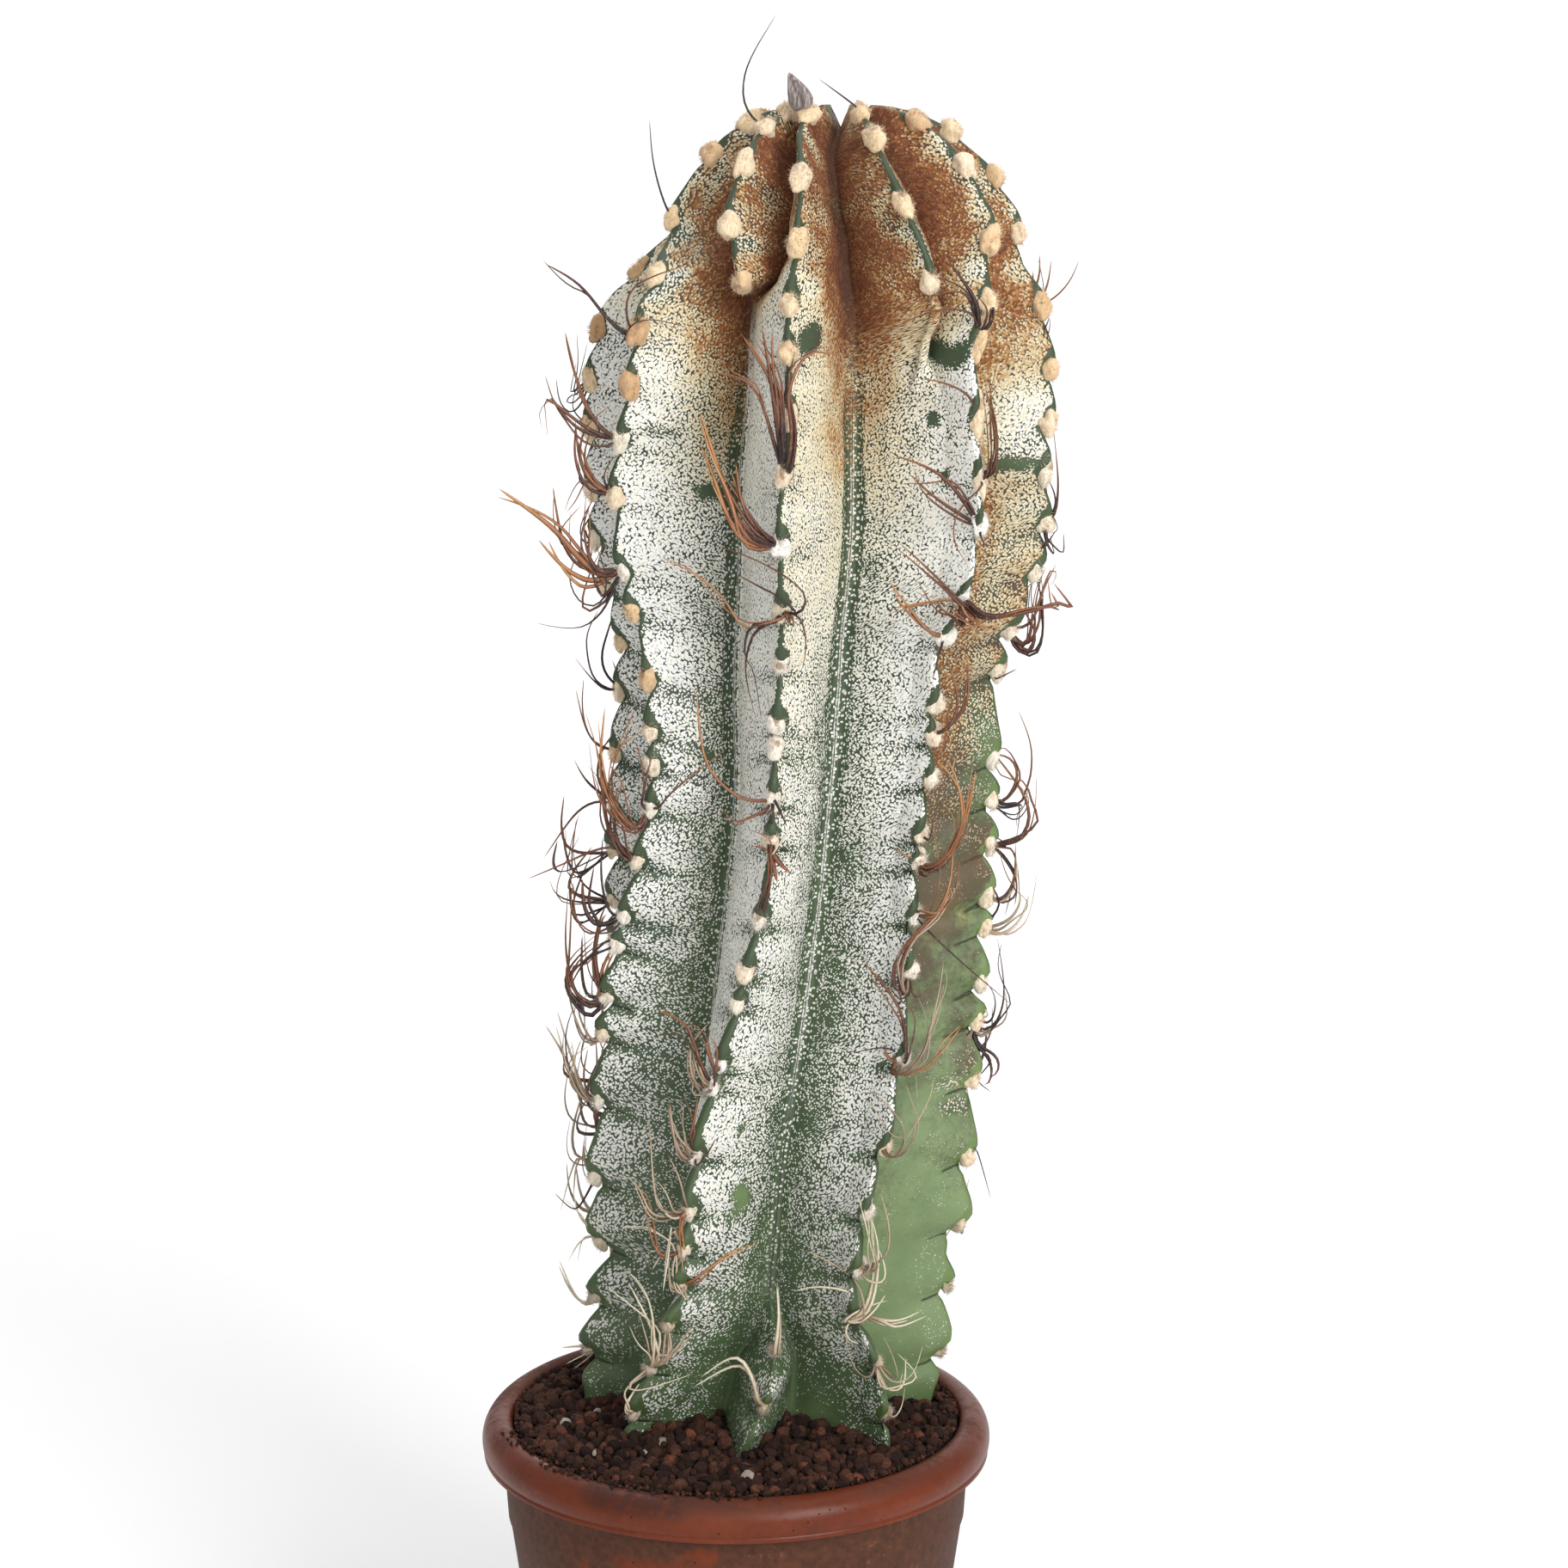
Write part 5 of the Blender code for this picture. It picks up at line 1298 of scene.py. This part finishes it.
    ("right", 143, "straw", 0.6, 1, ((5, 1), (2, 5), (-1, 6))),
    ("right", 143, "brown", 1.3, 1, ((0, -7), (6, -4), (9, 3), (10, 10))),
    ("right", 143, "dark", 1.5, 2, ((-1, -8), (4, -13), (6, -18), (5, -23), (3, -24))),
    ("right", 143, "brown", 1.2, 2, ((-3, -9), (-9, -10), (-16, -11))),
    ("right", 94, "dark", 0.4, 1, ((3, 5), (6, -5), (9, -16))),
    ("right", 68, "straw", 1.7, 1, ((3, -4), (-4, 4), (-14, 11), (-24, 17))),
)
# The ribs with spines that grow by rule, and up to what height they do
RULED = {"back_left": 480, "left_back": 215, "right_back": 480, "back": 480}


def rounded(points):
    """A broken line with its corners cut three times."""
    for _ in range(3):
        first, second = points[:-1], points[1:]
        cut = np.stack([first * 0.75 + second * 0.25, first * 0.25 + second * 0.75], 1).reshape(-1, 3)
        points = np.concatenate([points[:1], cut, points[-1:]])
    return points


def evenly(points):
    """The line's points at even steps along it, one for every span's end, kept above the grit."""
    step = np.linalg.norm(np.diff(points, axis=0), axis=1)
    run = np.concatenate([[0], np.cumsum(step)])
    at = np.linspace(0, run[-1], SPINE_SPANS + 1)
    found = np.stack([np.interp(at, run, points[:, axis]) for axis in range(3)], 1)
    found[:, 2] = np.maximum(found[:, 2], (SOIL_LEVEL + SPINE_FLOOR) * MM)
    return found


def hooked(root, start, end, length):
    """A spine that leaves along start and bends towards end."""
    return np.array([
        root, root + start * (length * 0.45), root + start * (length * 0.5) + end * (length * 0.25),
        root + start * (length * 0.4) + end * (length * 0.6),
    ])


def spine_template():
    """A flat straight blade one unit long, its width kept most of the way and then drawn to a point."""
    clear_selection()
    bpy.ops.mesh.primitive_cone_add(vertices=4, radius1=1, radius2=0.0, depth=1, location=(0, 0, 0.5))
    bpy.ops.object.transform_apply(location=True)
    bpy.ops.object.mode_set(mode="EDIT")
    for k in range(1, SPINE_SPANS):
        bpy.ops.mesh.select_all(action="SELECT")
        bpy.ops.mesh.bisect(plane_co=(0, 0, k / SPINE_SPANS), plane_no=(0, 0, 1))
    bpy.ops.object.mode_set(mode="OBJECT")
    blade = taken(named("spine"))
    points = points_of(blade)
    level = points[:, 2]
    points[:, :2] *= (np.maximum(1 - level, 1e-3) ** -0.6)[:, None]
    move_points(blade, points)
    return blade


def laid_along(unit, run, face, turned_by, width, thick):
    """A straight blade's points bent along a run of points, its flat side to face and turning as it goes."""
    way = np.gradient(run, axis=0)
    way /= np.maximum(np.linalg.norm(way, axis=1, keepdims=True), 1e-9)
    place = unit[:, 2] * SPINE_SPANS
    k = np.clip(place.astype(int), 0, SPINE_SPANS - 1)
    share = (place - k)[:, None]
    sides, current = [], np.cross(way[0], face)
    for line in way:
        current = current - line * current.dot(line)
        current /= max(np.linalg.norm(current), 1e-9)
        sides.append(current)
    sides = np.array(sides)
    overs = np.cross(way, sides)
    twist = np.linspace(turned_by[0], turned_by[1], len(run))[:, None]
    cosine, sine = np.cos(twist), np.sin(twist)
    sides, overs = sides * cosine + overs * sine, overs * cosine - sides * sine
    spot = run[k] * (1 - share) + run[k + 1] * share
    flat = sides[k] * (1 - share) + sides[k + 1] * share
    over = overs[k] * (1 - share) + overs[k + 1] * share
    return spot + flat * unit[:, :1] * width + over * unit[:, 1:2] * thick


def read_strands():
    """The spines read off the photo: runs of points in metres, width in mm, straw, shade, where they face."""
    draw = random.Random(DRAW + 3)
    found = []
    toward = np.array((0.0, -1.0, 0.15))
    for rib, height, kind, width, count, run in STRANDS:
        height = min(areole_heights(rib), key=lambda each: abs(each - height))
        point, out, _, _ = crest_place(rib, height)
        front = max(0.25, -out.y)
        straw, shade = SPINE_KINDS[kind]
        for k in range(count + (width >= DOUBLED)):
            points = [np.array(point) - np.array(out) * MM]
            for place, (right, rise) in enumerate(run, 1):
                share = place / len(run)
                stray = 0.8 + 2.0 * share if k else 0.0
                bulge = STRAND_BULGE * math.sin(math.pi * min(share * 1.15, 1))
                near = front * (2 + bulge) + draw.uniform(-1, 1) * share
                points.append(points[0] + MM * np.array((
                    right + draw.gauss(0, stray), -near, rise + draw.gauss(0, stray) + near * 0.2,
                )))
            narrowed = width * (draw.uniform(0.6, 0.95) if k else 1.0)
            shaded = shade + draw.uniform(-0.15, 0.15)
            found.append((rounded(np.array(points)), narrowed, straw, shaded, toward))
    return found


def ruled_spines():
    """The spines that grow by rule, described as the read ones are."""
    draw = random.Random(DRAW + 5)
    found = []
    for rib in RIBS:
        for height in areole_heights(rib):
            bearing = draw.random() < float(straight(SPINED_SHARE, height)) and height < RULED.get(rib, 0)
            lean, lift = draw.uniform(-0.9, 0.9), draw.uniform(-0.7, 0.3)
            point, out, side, up = crest_place(rib, height)
            frame_of = np.array([side, out, Vector((0, 0, 1))])
            for _ in range(draw.randint(*SPINES_EACH)):
                length = draw.uniform(*SPINE_LENGTH) * MM
                start = np.array((lean + draw.gauss(0, 0.3), 0.8, lift + draw.gauss(0, 0.3))) @ frame_of
                end = np.array((lean * 0.5 + draw.gauss(0, 0.4), draw.gauss(0, 0.3), 1.0)) @ frame_of
                width, shade = draw.uniform(*SPINE_WIDTH) * 2, draw.random()
                straw = min(max(1.15 - height / 120 + draw.uniform(-0.25, 0.25), 0), 1)
                root = np.array(point) - np.array(up) * draw.uniform(0, 3) * MM
                if bearing:
                    run = hooked(root, start / np.linalg.norm(start), end / np.linalg.norm(end), length)
                    found.append((rounded(run), width, straw, shade, np.array(out) + np.array((0, 0, 0.1))))
    return found


def spines():
    """Papery spines that leave the lower part of each cushion: ribbons, hooks and loops."""
    blade = spine_template()
    unit = points_of(blade)
    draw = random.Random(DRAW + 11)
    low, high = (np.array(corner) for corner in cad_box)
    placed, straws, shades = [], [], []
    for run, width, straw, shade, face in read_strands() + ruled_spines():
        run = np.clip(evenly(run), low - HEAD_ROOM * MM, high + HEAD_ROOM * MM)
        turned_by = draw.gauss(0, 0.25), draw.gauss(0, 0.7)
        half = max(width * WIDER, LEAST_WIDTH) / 2 * MM
        placed.append(laid_along(unit, run, face, turned_by, half, min(SPINE_THICK * MM, half)))
        straws.append(np.full(len(unit), straw))
        shades.append(np.full(len(unit), shade))
    return copies("spines", blade, np.array(placed), {
        "along": np.tile(unit[:, 2], len(placed)),
        "edge": np.tile((np.abs(unit[:, 0]) > 1e-4) * 1.0, len(placed)),
        "straw": np.array(straws), "shade": np.array(shades),
    })


def spine_finish():
    paint = Finish("papery_spine", roughness=0.5)
    along, edge, straw, shade = (paint.value(name) for name in ("along", "edge", "straw", "shade"))
    place = paint.place()
    grain = paint.cloud(paint.stretched(place, (1, 1, 0.25)), 1000 / 0.5, detail=2)
    blotch = paint.cloud(place, 1000 / 6, detail=2)
    rust = paint.ramp(
        along * 0.6 + shade * 0.5 + (blotch - 0.5) * 0.3 - 0.12,
        (0.0, tone(36, 22, 25)), (0.14, tone(50, 31, 32)), (0.32, tone(80, 49, 40)),
        (0.55, tone(120, 74, 50)), (0.8, tone(160, 108, 70)), (1.0, tone(192, 140, 92)),
    )
    dry = paint.ramp(
        along * 0.7 + shade * 0.5 + (blotch - 0.5) * 0.4,
        (0.1, tone(126, 100, 82)), (0.4, tone(178, 156, 130)), (0.7, tone(214, 202, 176)),
        (1.0, tone(222, 216, 188)),
    )
    colour = paint.mix(straw, rust, dry)
    colour = paint.mix(paint.rise(edge, 0.55, 1.0) * 0.4, colour, tone(52, 32, 28))
    colour = paint.mix(paint.rise(grain, 0.55, 0.75) * 0.3, colour, tone(206, 164, 118))
    colour = paint.mix(paint.rise(grain, 0.45, 0.3) * 0.35, colour, tone(60, 38, 30))
    return paint.feed(base_color=colour, normal=paint.bump(grain, 0.0002, 0.6))


BUD_LENGTH, BUD_RADIUS = 13, 3.8
BUD_OUTLINE = (
    (0.0, 0.6), (0.08, 0.85), (0.18, 1.0), (0.35, 0.98), (0.55, 0.8), (0.75, 0.52), (0.92, 0.26), (1.0, 0.06),
)
BUD_LEAN = (-0.45, -0.1, 1)


def bud():
    """The dry hairy bud on the front rib's topmost areole."""
    point = crest_place("front", AREOLES["front"][-1])[0]
    lean = Vector(BUD_LEAN).normalized()
    made = turned("bud", [(width * BUD_RADIUS, share * BUD_LENGTH) for share, width in BUD_OUTLINE], 40)
    points = points_of(made.data)
    angle = np.arctan2(points[:, 1], points[:, 0])
    wrinkle = 1 + 0.07 * np.sin(angle * 6 + points[:, 2] * 200) + 0.04 * np.sin(angle * 11 + 2)
    points[:, :2] *= wrinkle[:, None]
    turn = lean.to_track_quat("Z", "Y").to_matrix()
    points = points @ np.array(turn).T + np.array(point + lean * 1.5 * MM)
    move_points(made.data, points)
    return made


def bud_finish():
    paint = Finish("dry_bud", roughness=0.9, sheen_weight=0.3)
    place = paint.place()
    hair = paint.cloud(paint.stretched(place, (1, 1, 0.2)), 1000 / 0.5, detail=3)
    stripe = paint.cloud(paint.stretched(place, (1, 1, 0.12)), 1000 / 1.6, detail=2)
    colour = paint.ramp(
        hair, (0.3, tone(112, 98, 98)), (0.5, tone(150, 138, 134)), (0.7, tone(196, 186, 178)),
    )
    colour = paint.mix(paint.rise(stripe, 0.52, 0.4) * 0.75, colour, tone(88, 74, 76))
    return paint.feed(base_color=colour, normal=paint.bump(hair + stripe, 0.001, 0.9))


# Pot and grit

def turned(name, outline, sides):
    """A shape turned round +Z from an outline of (radius, level) in mm, extruded station by station."""
    clear_selection()
    radius, level = outline[0]
    bpy.ops.mesh.primitive_circle_add(
        vertices=sides, radius=radius * MM, location=(0, 0, level * MM), fill_type="NGON"
    )
    made = named(name)
    bpy.ops.object.transform_apply(location=True)
    bpy.ops.object.mode_set(mode="EDIT")
    bpy.ops.mesh.select_all(action="SELECT")
    bpy.ops.mesh.duplicate()
    for (old_radius, old_level), (new_radius, new_level) in zip(outline, outline[1:]):
        grow, step = new_radius / old_radius, (0, 0, (new_level - old_level) * MM)
        bpy.ops.mesh.extrude_region_move(TRANSFORM_OT_translate={"value": step})
        bpy.ops.transform.resize(value=(grow, grow, 1), center_override=(0, 0, new_level * MM))
    bpy.ops.mesh.select_all(action="SELECT")
    close_up()
    bpy.ops.object.mode_set(mode="OBJECT")
    return made


def pot_outline():
    """From the middle of the underside out, up the body, over the rolled rim and down to the floor inside."""
    low = POT_HEIGHT - RIM_HEIGHT
    outside = [(2, 1.2), (30, 1.2), (BASE_RADIUS - 7, 1.2), (BASE_RADIUS - 6, 0.2), (BASE_RADIUS - 2, 0.0)]
    outside += [(BASE_RADIUS - 0.5, 0.5), (BASE_RADIUS, 1.5), (BASE_RADIUS + 0.6, 6), (BASE_RADIUS + 0.4, 7)]
    neck = [(NECK_RADIUS - 2.6, low - 24), (NECK_RADIUS - 1.9, low - 22.5), (NECK_RADIUS - 1.2, low - 12)]
    neck += [(NECK_RADIUS, low - 1), (NECK_RADIUS + 0.6, low + 1.4), (RIM_RADIUS - 3.2, low + 1.2)]
    neck += [(RIM_RADIUS - 2.2, low + 0.2), (RIM_RADIUS - 1.4, low), (RIM_RADIUS - 0.6, low + 0.5)]
    neck += [(RIM_RADIUS - 0.5, low + 1.4), (RIM_RADIUS - 0.9, low + 2.1)]
    roll = []
    for k in range(13):
        angle = math.radians(-12 + 102 * k / 12)
        roll.append((RIM_RADIUS - 7.5 + 7.5 * math.cos(angle), POT_HEIGHT - 8.5 + 8.5 * math.sin(angle)))
    foot = BASE_RADIUS + 1 - WALL
    mouth = [(RIM_MOUTH + 1.2, POT_HEIGHT - 0.8), (RIM_MOUTH + 0.3, POT_HEIGHT - 2.2)]
    mouth += [(RIM_MOUTH, POT_HEIGHT - 4)]
    inside = [(NECK_RADIUS - WALL, low - 6), (foot, FLOOR + 2), (foot - 2, FLOOR), (30, FLOOR), (2, FLOOR)]
    return outside + neck + roll + mouth + inside


def pot():
    """The turned shell with its drain holes cut through."""
    made = turned("pot_shell", pot_outline(), POT_SIDES)
    clear_selection()
    cutters = []
    for k in range(DRAINS):
        angle = 2 * math.pi * (k + 0.55) / DRAINS
        spot = (DRAIN_CIRCLE * MM * math.cos(angle), DRAIN_CIRCLE * MM * math.sin(angle), FLOOR * MM / 2)
        bpy.ops.mesh.primitive_cylinder_add(
            vertices=24, radius=DRAIN_RADIUS * MM, depth=4 * FLOOR * MM, location=spot
        )
        cutters.append(named(f"drain_{k + 1}"))
    for cutter in cutters:
        clear_selection()
        made.select_set(True)
        bpy.context.view_layer.objects.active = made
        cutting = made.modifiers.new(cutter.name, "BOOLEAN")
        cutting.operation, cutting.object = "DIFFERENCE", cutter
        bpy.ops.object.modifier_apply(modifier=cutting.name)
        bpy.data.objects.remove(cutter)
    return made


def pot_finish():
    paint = Finish("terracotta_plastic", roughness=0.45)
    paint.shader.inputs["Specular IOR Level"].default_value = 0.25
    place = paint.place()
    parts = paint.node("SeparateXYZ", values={"Vector": place})
    level, aside = parts.other("Z") * 1000, parts.other("X") * 1000
    in_front = paint.rise(parts.other("Y") * 1000, 10, -10)
    broad = paint.cloud(place, 1000 / 30, detail=4)
    fine = paint.cloud(place, 1000 / 3, detail=4, roughness=0.65)
    streaks = paint.cloud(paint.stretched(place, (1, 1, 6)), 1000 / 26, detail=3)
    pits = paint.cells(place, 1000 / 4.2)
    pit = paint.rise(pits, 0.13, 0.08) * paint.rise(paint.red(pits.other("Color")), 0.72, 0.76)
    clay = paint.ramp(
        broad * 0.6 + fine * 0.4,
        (0.3, tone(84, 33, 14)), (0.5, tone(101, 42, 18)), (0.72, tone(115, 51, 23)),
    )
    body = paint.rise(level, POT_HEIGHT - RIM_HEIGHT + 1.0, POT_HEIGHT - RIM_HEIGHT - 1.0)
    dirt = paint.ramp(fine, (0.3, tone(58, 35, 24)), (0.7, tone(88, 54, 36)))
    wiped = paint.rise((aside + CLEAN_PATCH).size() + (broad - 0.5) * 30, 24, 16)
    wiped = wiped * paint.rise(level, 122, 116)
    wiped = wiped * paint.rise(level + (broad - 0.5) * 40, 78, 96) * in_front
    clean = paint.rise(broad, 0.66, 0.72).most(wiped)
    colour = paint.mix(body * (1 - clean * 0.9) * 0.9, clay, dirt)
    top = paint.rise(level, POT_HEIGHT - 6, POT_HEIGHT - 1)
    dust = top * 0.75 * paint.rise(broad + (fine - 0.5) * 0.6, 0.35, 0.65) + paint.rise(fine, 0.6, 0.8) * 0.12
    colour = paint.mix(dust, colour, tone(70, 42, 32))
    smear = paint.rise((aside + SMEAR).size() + (broad - 0.5) * 24, 24, 12)
    smear = smear * paint.rise(level, POT_HEIGHT - 8, POT_HEIGHT - 4) * in_front
    colour = paint.mix(smear * paint.rise(fine, 0.3, 0.55) * 0.8, colour, tone(60, 35, 28))
    scuff = paint.rise(streaks, 0.64, 0.7) * paint.rise(fine, 0.5, 0.65) * 0.3
    colour = paint.mix(scuff, colour, tone(160, 94, 62))
    colour = paint.mix(pit * 0.8, colour, tone(36, 22, 18))
    return paint.feed(
        base_color=colour,
        roughness=0.36 + body * 0.35 + dust * 0.5 + scuff * 0.2,
        normal=paint.bump(fine * 0.5 - pit, 0.0004, 0.6),
    )


GRIT_KINDS = 8
GRIT_STONES = 2200
GRIT_SIZE = (1.3, 2.8)
GRIT_EDGE = 78.6
GRIT_CLEAR, GRIT_APART = 0.4, 0.42
LARGE_SHARE, LARGER = 0.15, 1.2
TRIES, GIVE_UP = 400, 0.02
HEAP_FOOT, HEAP_RUN = 76, 46
CRUMBS, CRUMB_SIZE = 900, (0.5, 1.0)
RIM_CRUMBS, RIM_CRUMB_TURN = 110, (-75, 8)


def heap(radius):
    """The soil's height above its level at the wall, in mm, for a distance from the pot's axis in mm."""
    inward = np.clip((HEAP_FOOT - radius) / HEAP_RUN, 0, 1)
    return HEAP * inward * inward * (3 - 2 * inward)


def stem_outline(height):
    """The stem's flat outline at one height, in mm from the pot's axis."""
    at = np.array([float(height)])
    crests, valleys, shares = stem_lines(at)
    ring = [rib_columns(k, at, crests, valleys, shares)[0][0, :-1] for k in range(len(RIBS))]
    return np.concatenate(ring) + axis_at(at)


def distance_inside(ring, spots):
    """How far spots lie inside a closed flat ring, negative outside it."""
    start, end = ring, np.roll(ring, -1, 0)
    edge = end - start
    to_spot = spots[:, None] - start
    share = np.clip((to_spot * edge).sum(-1) / np.maximum((edge * edge).sum(-1), 1e-9), 0, 1)
    apart = np.linalg.norm(to_spot - share[..., None] * edge, axis=-1).min(1)
    x, y = spots[:, :1], spots[:, 1:]
    crosses = (start[:, 1] > y) != (end[:, 1] > y)
    slope = edge[:, 0] / np.where(np.abs(edge[:, 1]) < 1e-9, 1e-9, edge[:, 1])
    inside = (crosses & (x < start[:, 0] + (y - start[:, 1]) * slope)).sum(1) % 2 == 1
    return np.where(inside, apart, -apart)


def stones():
    """A few differently broken stones, each a cube that is cut finer and left rough."""
    kinds = []
    for k in range(GRIT_KINDS):
        clear_selection()
        bpy.ops.mesh.primitive_cube_add(size=2)
        bpy.ops.object.mode_set(mode="EDIT")
        bpy.ops.mesh.select_all(action="SELECT")
        bpy.ops.mesh.subdivide(number_cuts=1, smoothness=0.9, fractal=1.2, seed=k + 1)
        bpy.ops.object.mode_set(mode="OBJECT")
        stone = taken(named(f"stone_{k + 1}"))
        points = points_of(stone)
        points -= points.mean(0)
        move_points(stone, points / np.abs(points).max(0).mean())
        kinds.append(stone)
    return kinds


def grit():
    """Loose stones over the whole top of the soil, packed up to the stem and the pot."""
    draw = np.random.default_rng(DRAW + 9)
    ring = stem_outline(2)
    spots, sizes = [], []
    while len(spots) < GRIT_STONES:
        tries = draw.uniform(-GRIT_EDGE, GRIT_EDGE, (TRIES, 2))
        size = draw.uniform(*GRIT_SIZE, TRIES) * np.where(draw.random(TRIES) < LARGE_SHARE, LARGER, 1)
        in_pot = np.linalg.norm(tries, axis=1) < GRIT_EDGE - size
        free = in_pot & (distance_inside(ring, tries) < -size * GRIT_CLEAR)
        for spot, radius in zip(tries[free], size[free]):
            room = GRIT_APART * (radius + np.array(sizes))
            if not spots or (np.linalg.norm(np.array(spots) - spot, axis=1) > room).all():
                spots.append(spot)
                sizes.append(radius)
        if draw.random() < GIVE_UP:
            break
    levels = [SOIL_LEVEL + float(heap(np.linalg.norm(spot))) + draw.uniform(-0.6, 2.2) for spot in spots]
    for k in range(CRUMBS + RIM_CRUMBS):
        size = draw.uniform(*CRUMB_SIZE)
        if k < CRUMBS:
            spots.append(polar(draw.uniform(-180, 180), GRIT_EDGE - 0.3 - 5 * draw.random() ** 2))
            levels.append(SOIL_LEVEL + draw.uniform(0.4, 1.8))
        else:
            spots.append(polar(draw.uniform(*RIM_CRUMB_TURN), RIM_RADIUS - 9.5 + 4.5 * draw.random() ** 2))
            levels.append(POT_HEIGHT + size * 0.3)
        sizes.append(size)
    kinds = stones()
    units = [points_of(stone) for stone in kinds]
    placed, tones = [], []
    for spot, level, radius in zip(spots, levels, sizes):
        unit = units[draw.integers(GRIT_KINDS)]
        shape = unit * draw.uniform(0.65, 1.2, 3) * radius * MM
        placed.append(shape @ random_turn(draw) + np.array((*spot, level)) * MM)
        tones.append(np.full(len(unit), draw.random()))
    return copies("grit", kinds[0], np.array(placed), {"tone": np.array(tones)})


def random_turn(draw):
    """A random rotation as a 3 by 3 array."""
    axes, _ = np.linalg.qr(draw.normal(size=(3, 3)))
    return axes * np.sign(np.linalg.det(axes))


def grit_finish():
    paint = Finish("lava_grit", roughness=0.95)
    paint.shader.inputs["Specular IOR Level"].default_value = 0.25
    place, each = paint.place(), paint.value("tone")
    pores = paint.cloud(place, 1000 / 1.1, detail=4, roughness=0.7)
    dust = paint.cloud(place, 1000 / 5, detail=2)
    stone = paint.ramp(
        each + (dust - 0.5) * 0.3,
        (0.0, tone(34, 20, 16)), (0.35, tone(52, 32, 24)), (0.7, tone(70, 44, 33)), (0.92, tone(86, 54, 40)),
        (1.0, tone(118, 66, 50)),
    )
    colour = paint.mix(paint.rise(pores, 0.5, 0.32) * 0.7, stone, tone(24, 14, 14))
    colour = paint.mix(paint.rise(pores, 0.62, 0.75) * 0.35, colour, tone(122, 88, 74))
    colour = paint.mix(paint.rise(each, 0.9975, 0.999), colour, tone(170, 160, 148))
    return paint.feed(base_color=colour, normal=paint.bump(pores, 0.0012, 0.9))


# The studio, in metres: the wall stands behind every view of the plant, so that none is hidden

WALL_BACK, WALL_TALL, FLOOR_WIDE, FLOOR_DEEP = 2.4, 2.4, 7, 6
WALL_BEND = 0.5
DAYLIGHT = 0.45
PLANT_AIM, WALL_AIM = (0.02, 0, 0.35), (0, WALL_BACK, 0.1)
# Each lamp's name, place, aim, size and power in watts
LAMPS = (
    ("window", (1.1, -1.7, 1.3), PLANT_AIM, 0.9, 36), ("front_fill", (-0.6, -2.2, 0.9), PLANT_AIM, 1.6, 7),
    ("top", (0.2, -0.2, 2.1), PLANT_AIM, 1.2, 7), ("behind", (0, 1.2, 2.2), WALL_AIM, 1.6, 30),
)
CAMERA_PLACE, CAMERA_PITCH = (0.017, -1.323, 0.652), 78
CAMERA_LENS, CAMERA_SENSOR = 90.5, 36


def studio():
    """A pale sweep of floor and wall, soft lights, and the camera at the photo's angle."""
    clear_selection()
    bpy.ops.mesh.primitive_plane_add(size=1, location=(0, 0, 0))
    floor = named("floor")
    points = points_of(floor.data)
    points[:, 0] *= FLOOR_WIDE
    points[:, 1] = WALL_BACK + (points[:, 1] - 0.5) * FLOOR_DEEP
    move_points(floor.data, points)
    bpy.ops.object.mode_set(mode="EDIT")
    bpy.ops.mesh.select_all(action="DESELECT")
    bpy.ops.object.mode_set(mode="OBJECT")
    back = points[:, 1].max()
    for edge in floor.data.edges:
        edge.select = all(abs(points[v][1] - back) < 1e-6 for v in edge.vertices)
    bpy.ops.object.mode_set(mode="EDIT")
    bpy.ops.mesh.select_mode(type="EDGE")
    bpy.ops.mesh.extrude_region_move(TRANSFORM_OT_translate={"value": (0, 0, WALL_TALL)})
    bpy.ops.object.mode_set(mode="OBJECT")
    sweep = floor.modifiers.new("sweep", "BEVEL")
    sweep.width, sweep.segments, sweep.limit_method = WALL_BEND, 12, "ANGLE"
    bpy.context.view_layer.objects.active = floor
    bpy.ops.object.modifier_apply(modifier="sweep")
    floor.data.shade_smooth()
    paint = Finish("pale_backdrop", roughness=0.95)
    veil = paint.cloud(paint.place(), 0.8, detail=1)
    pale = paint.mix(veil, tone(236, 236, 236), tone(246, 246, 246))
    floor.data.materials.append(paint.feed(base_color=pale))

    scene = bpy.context.scene
    scene.view_settings.view_transform = "Standard"
    world = bpy.data.worlds.new("studio")
    world.use_nodes = True
    sky = world.node_tree.nodes["Background"].inputs
    sky["Color"].default_value = (1, 1, 1, 1)
    sky["Strength"].default_value = DAYLIGHT
    scene.world = world
    for name, spot, aim, size, power in LAMPS:
        light = bpy.data.lights.new(name, "AREA")
        light.shape, light.size, light.energy = "SQUARE", size, power
        lamp = bpy.data.objects.new(name, light)
        lamp.location = spot
        lamp.rotation_euler = (Vector(aim) - Vector(spot)).to_track_quat("-Z", "Y").to_euler()
        scene.collection.objects.link(lamp)
    view = bpy.data.cameras.new("camera")
    view.lens, view.sensor_width = CAMERA_LENS, CAMERA_SENSOR
    camera = bpy.data.objects.new("camera", view)
    camera.location = CAMERA_PLACE
    camera.rotation_euler = (math.radians(CAMERA_PITCH), 0, 0)
    scene.collection.objects.link(camera)
    scene.camera = camera


def main():
    studio()
    finished(pot(), pot_finish(), "pot", smooth=40)
    soil_material = grit_finish()
    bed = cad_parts["soil"]
    bed.data.materials.clear()
    bed.data.materials.append(soil_material)
    finished(grit(), soil_material, smooth=25)
    finished(skin(), skin_finish(), "stem")
    cushions = cushion_places()
    wool_material = wool_finish()
    finished(wool(cushions), wool_material, "stem")
    finished(hairs(cushions), wool_material, "stem")
    finished(spines(), spine_finish(), "stem")
    finished(bud(), bud_finish(), "stem")


main()
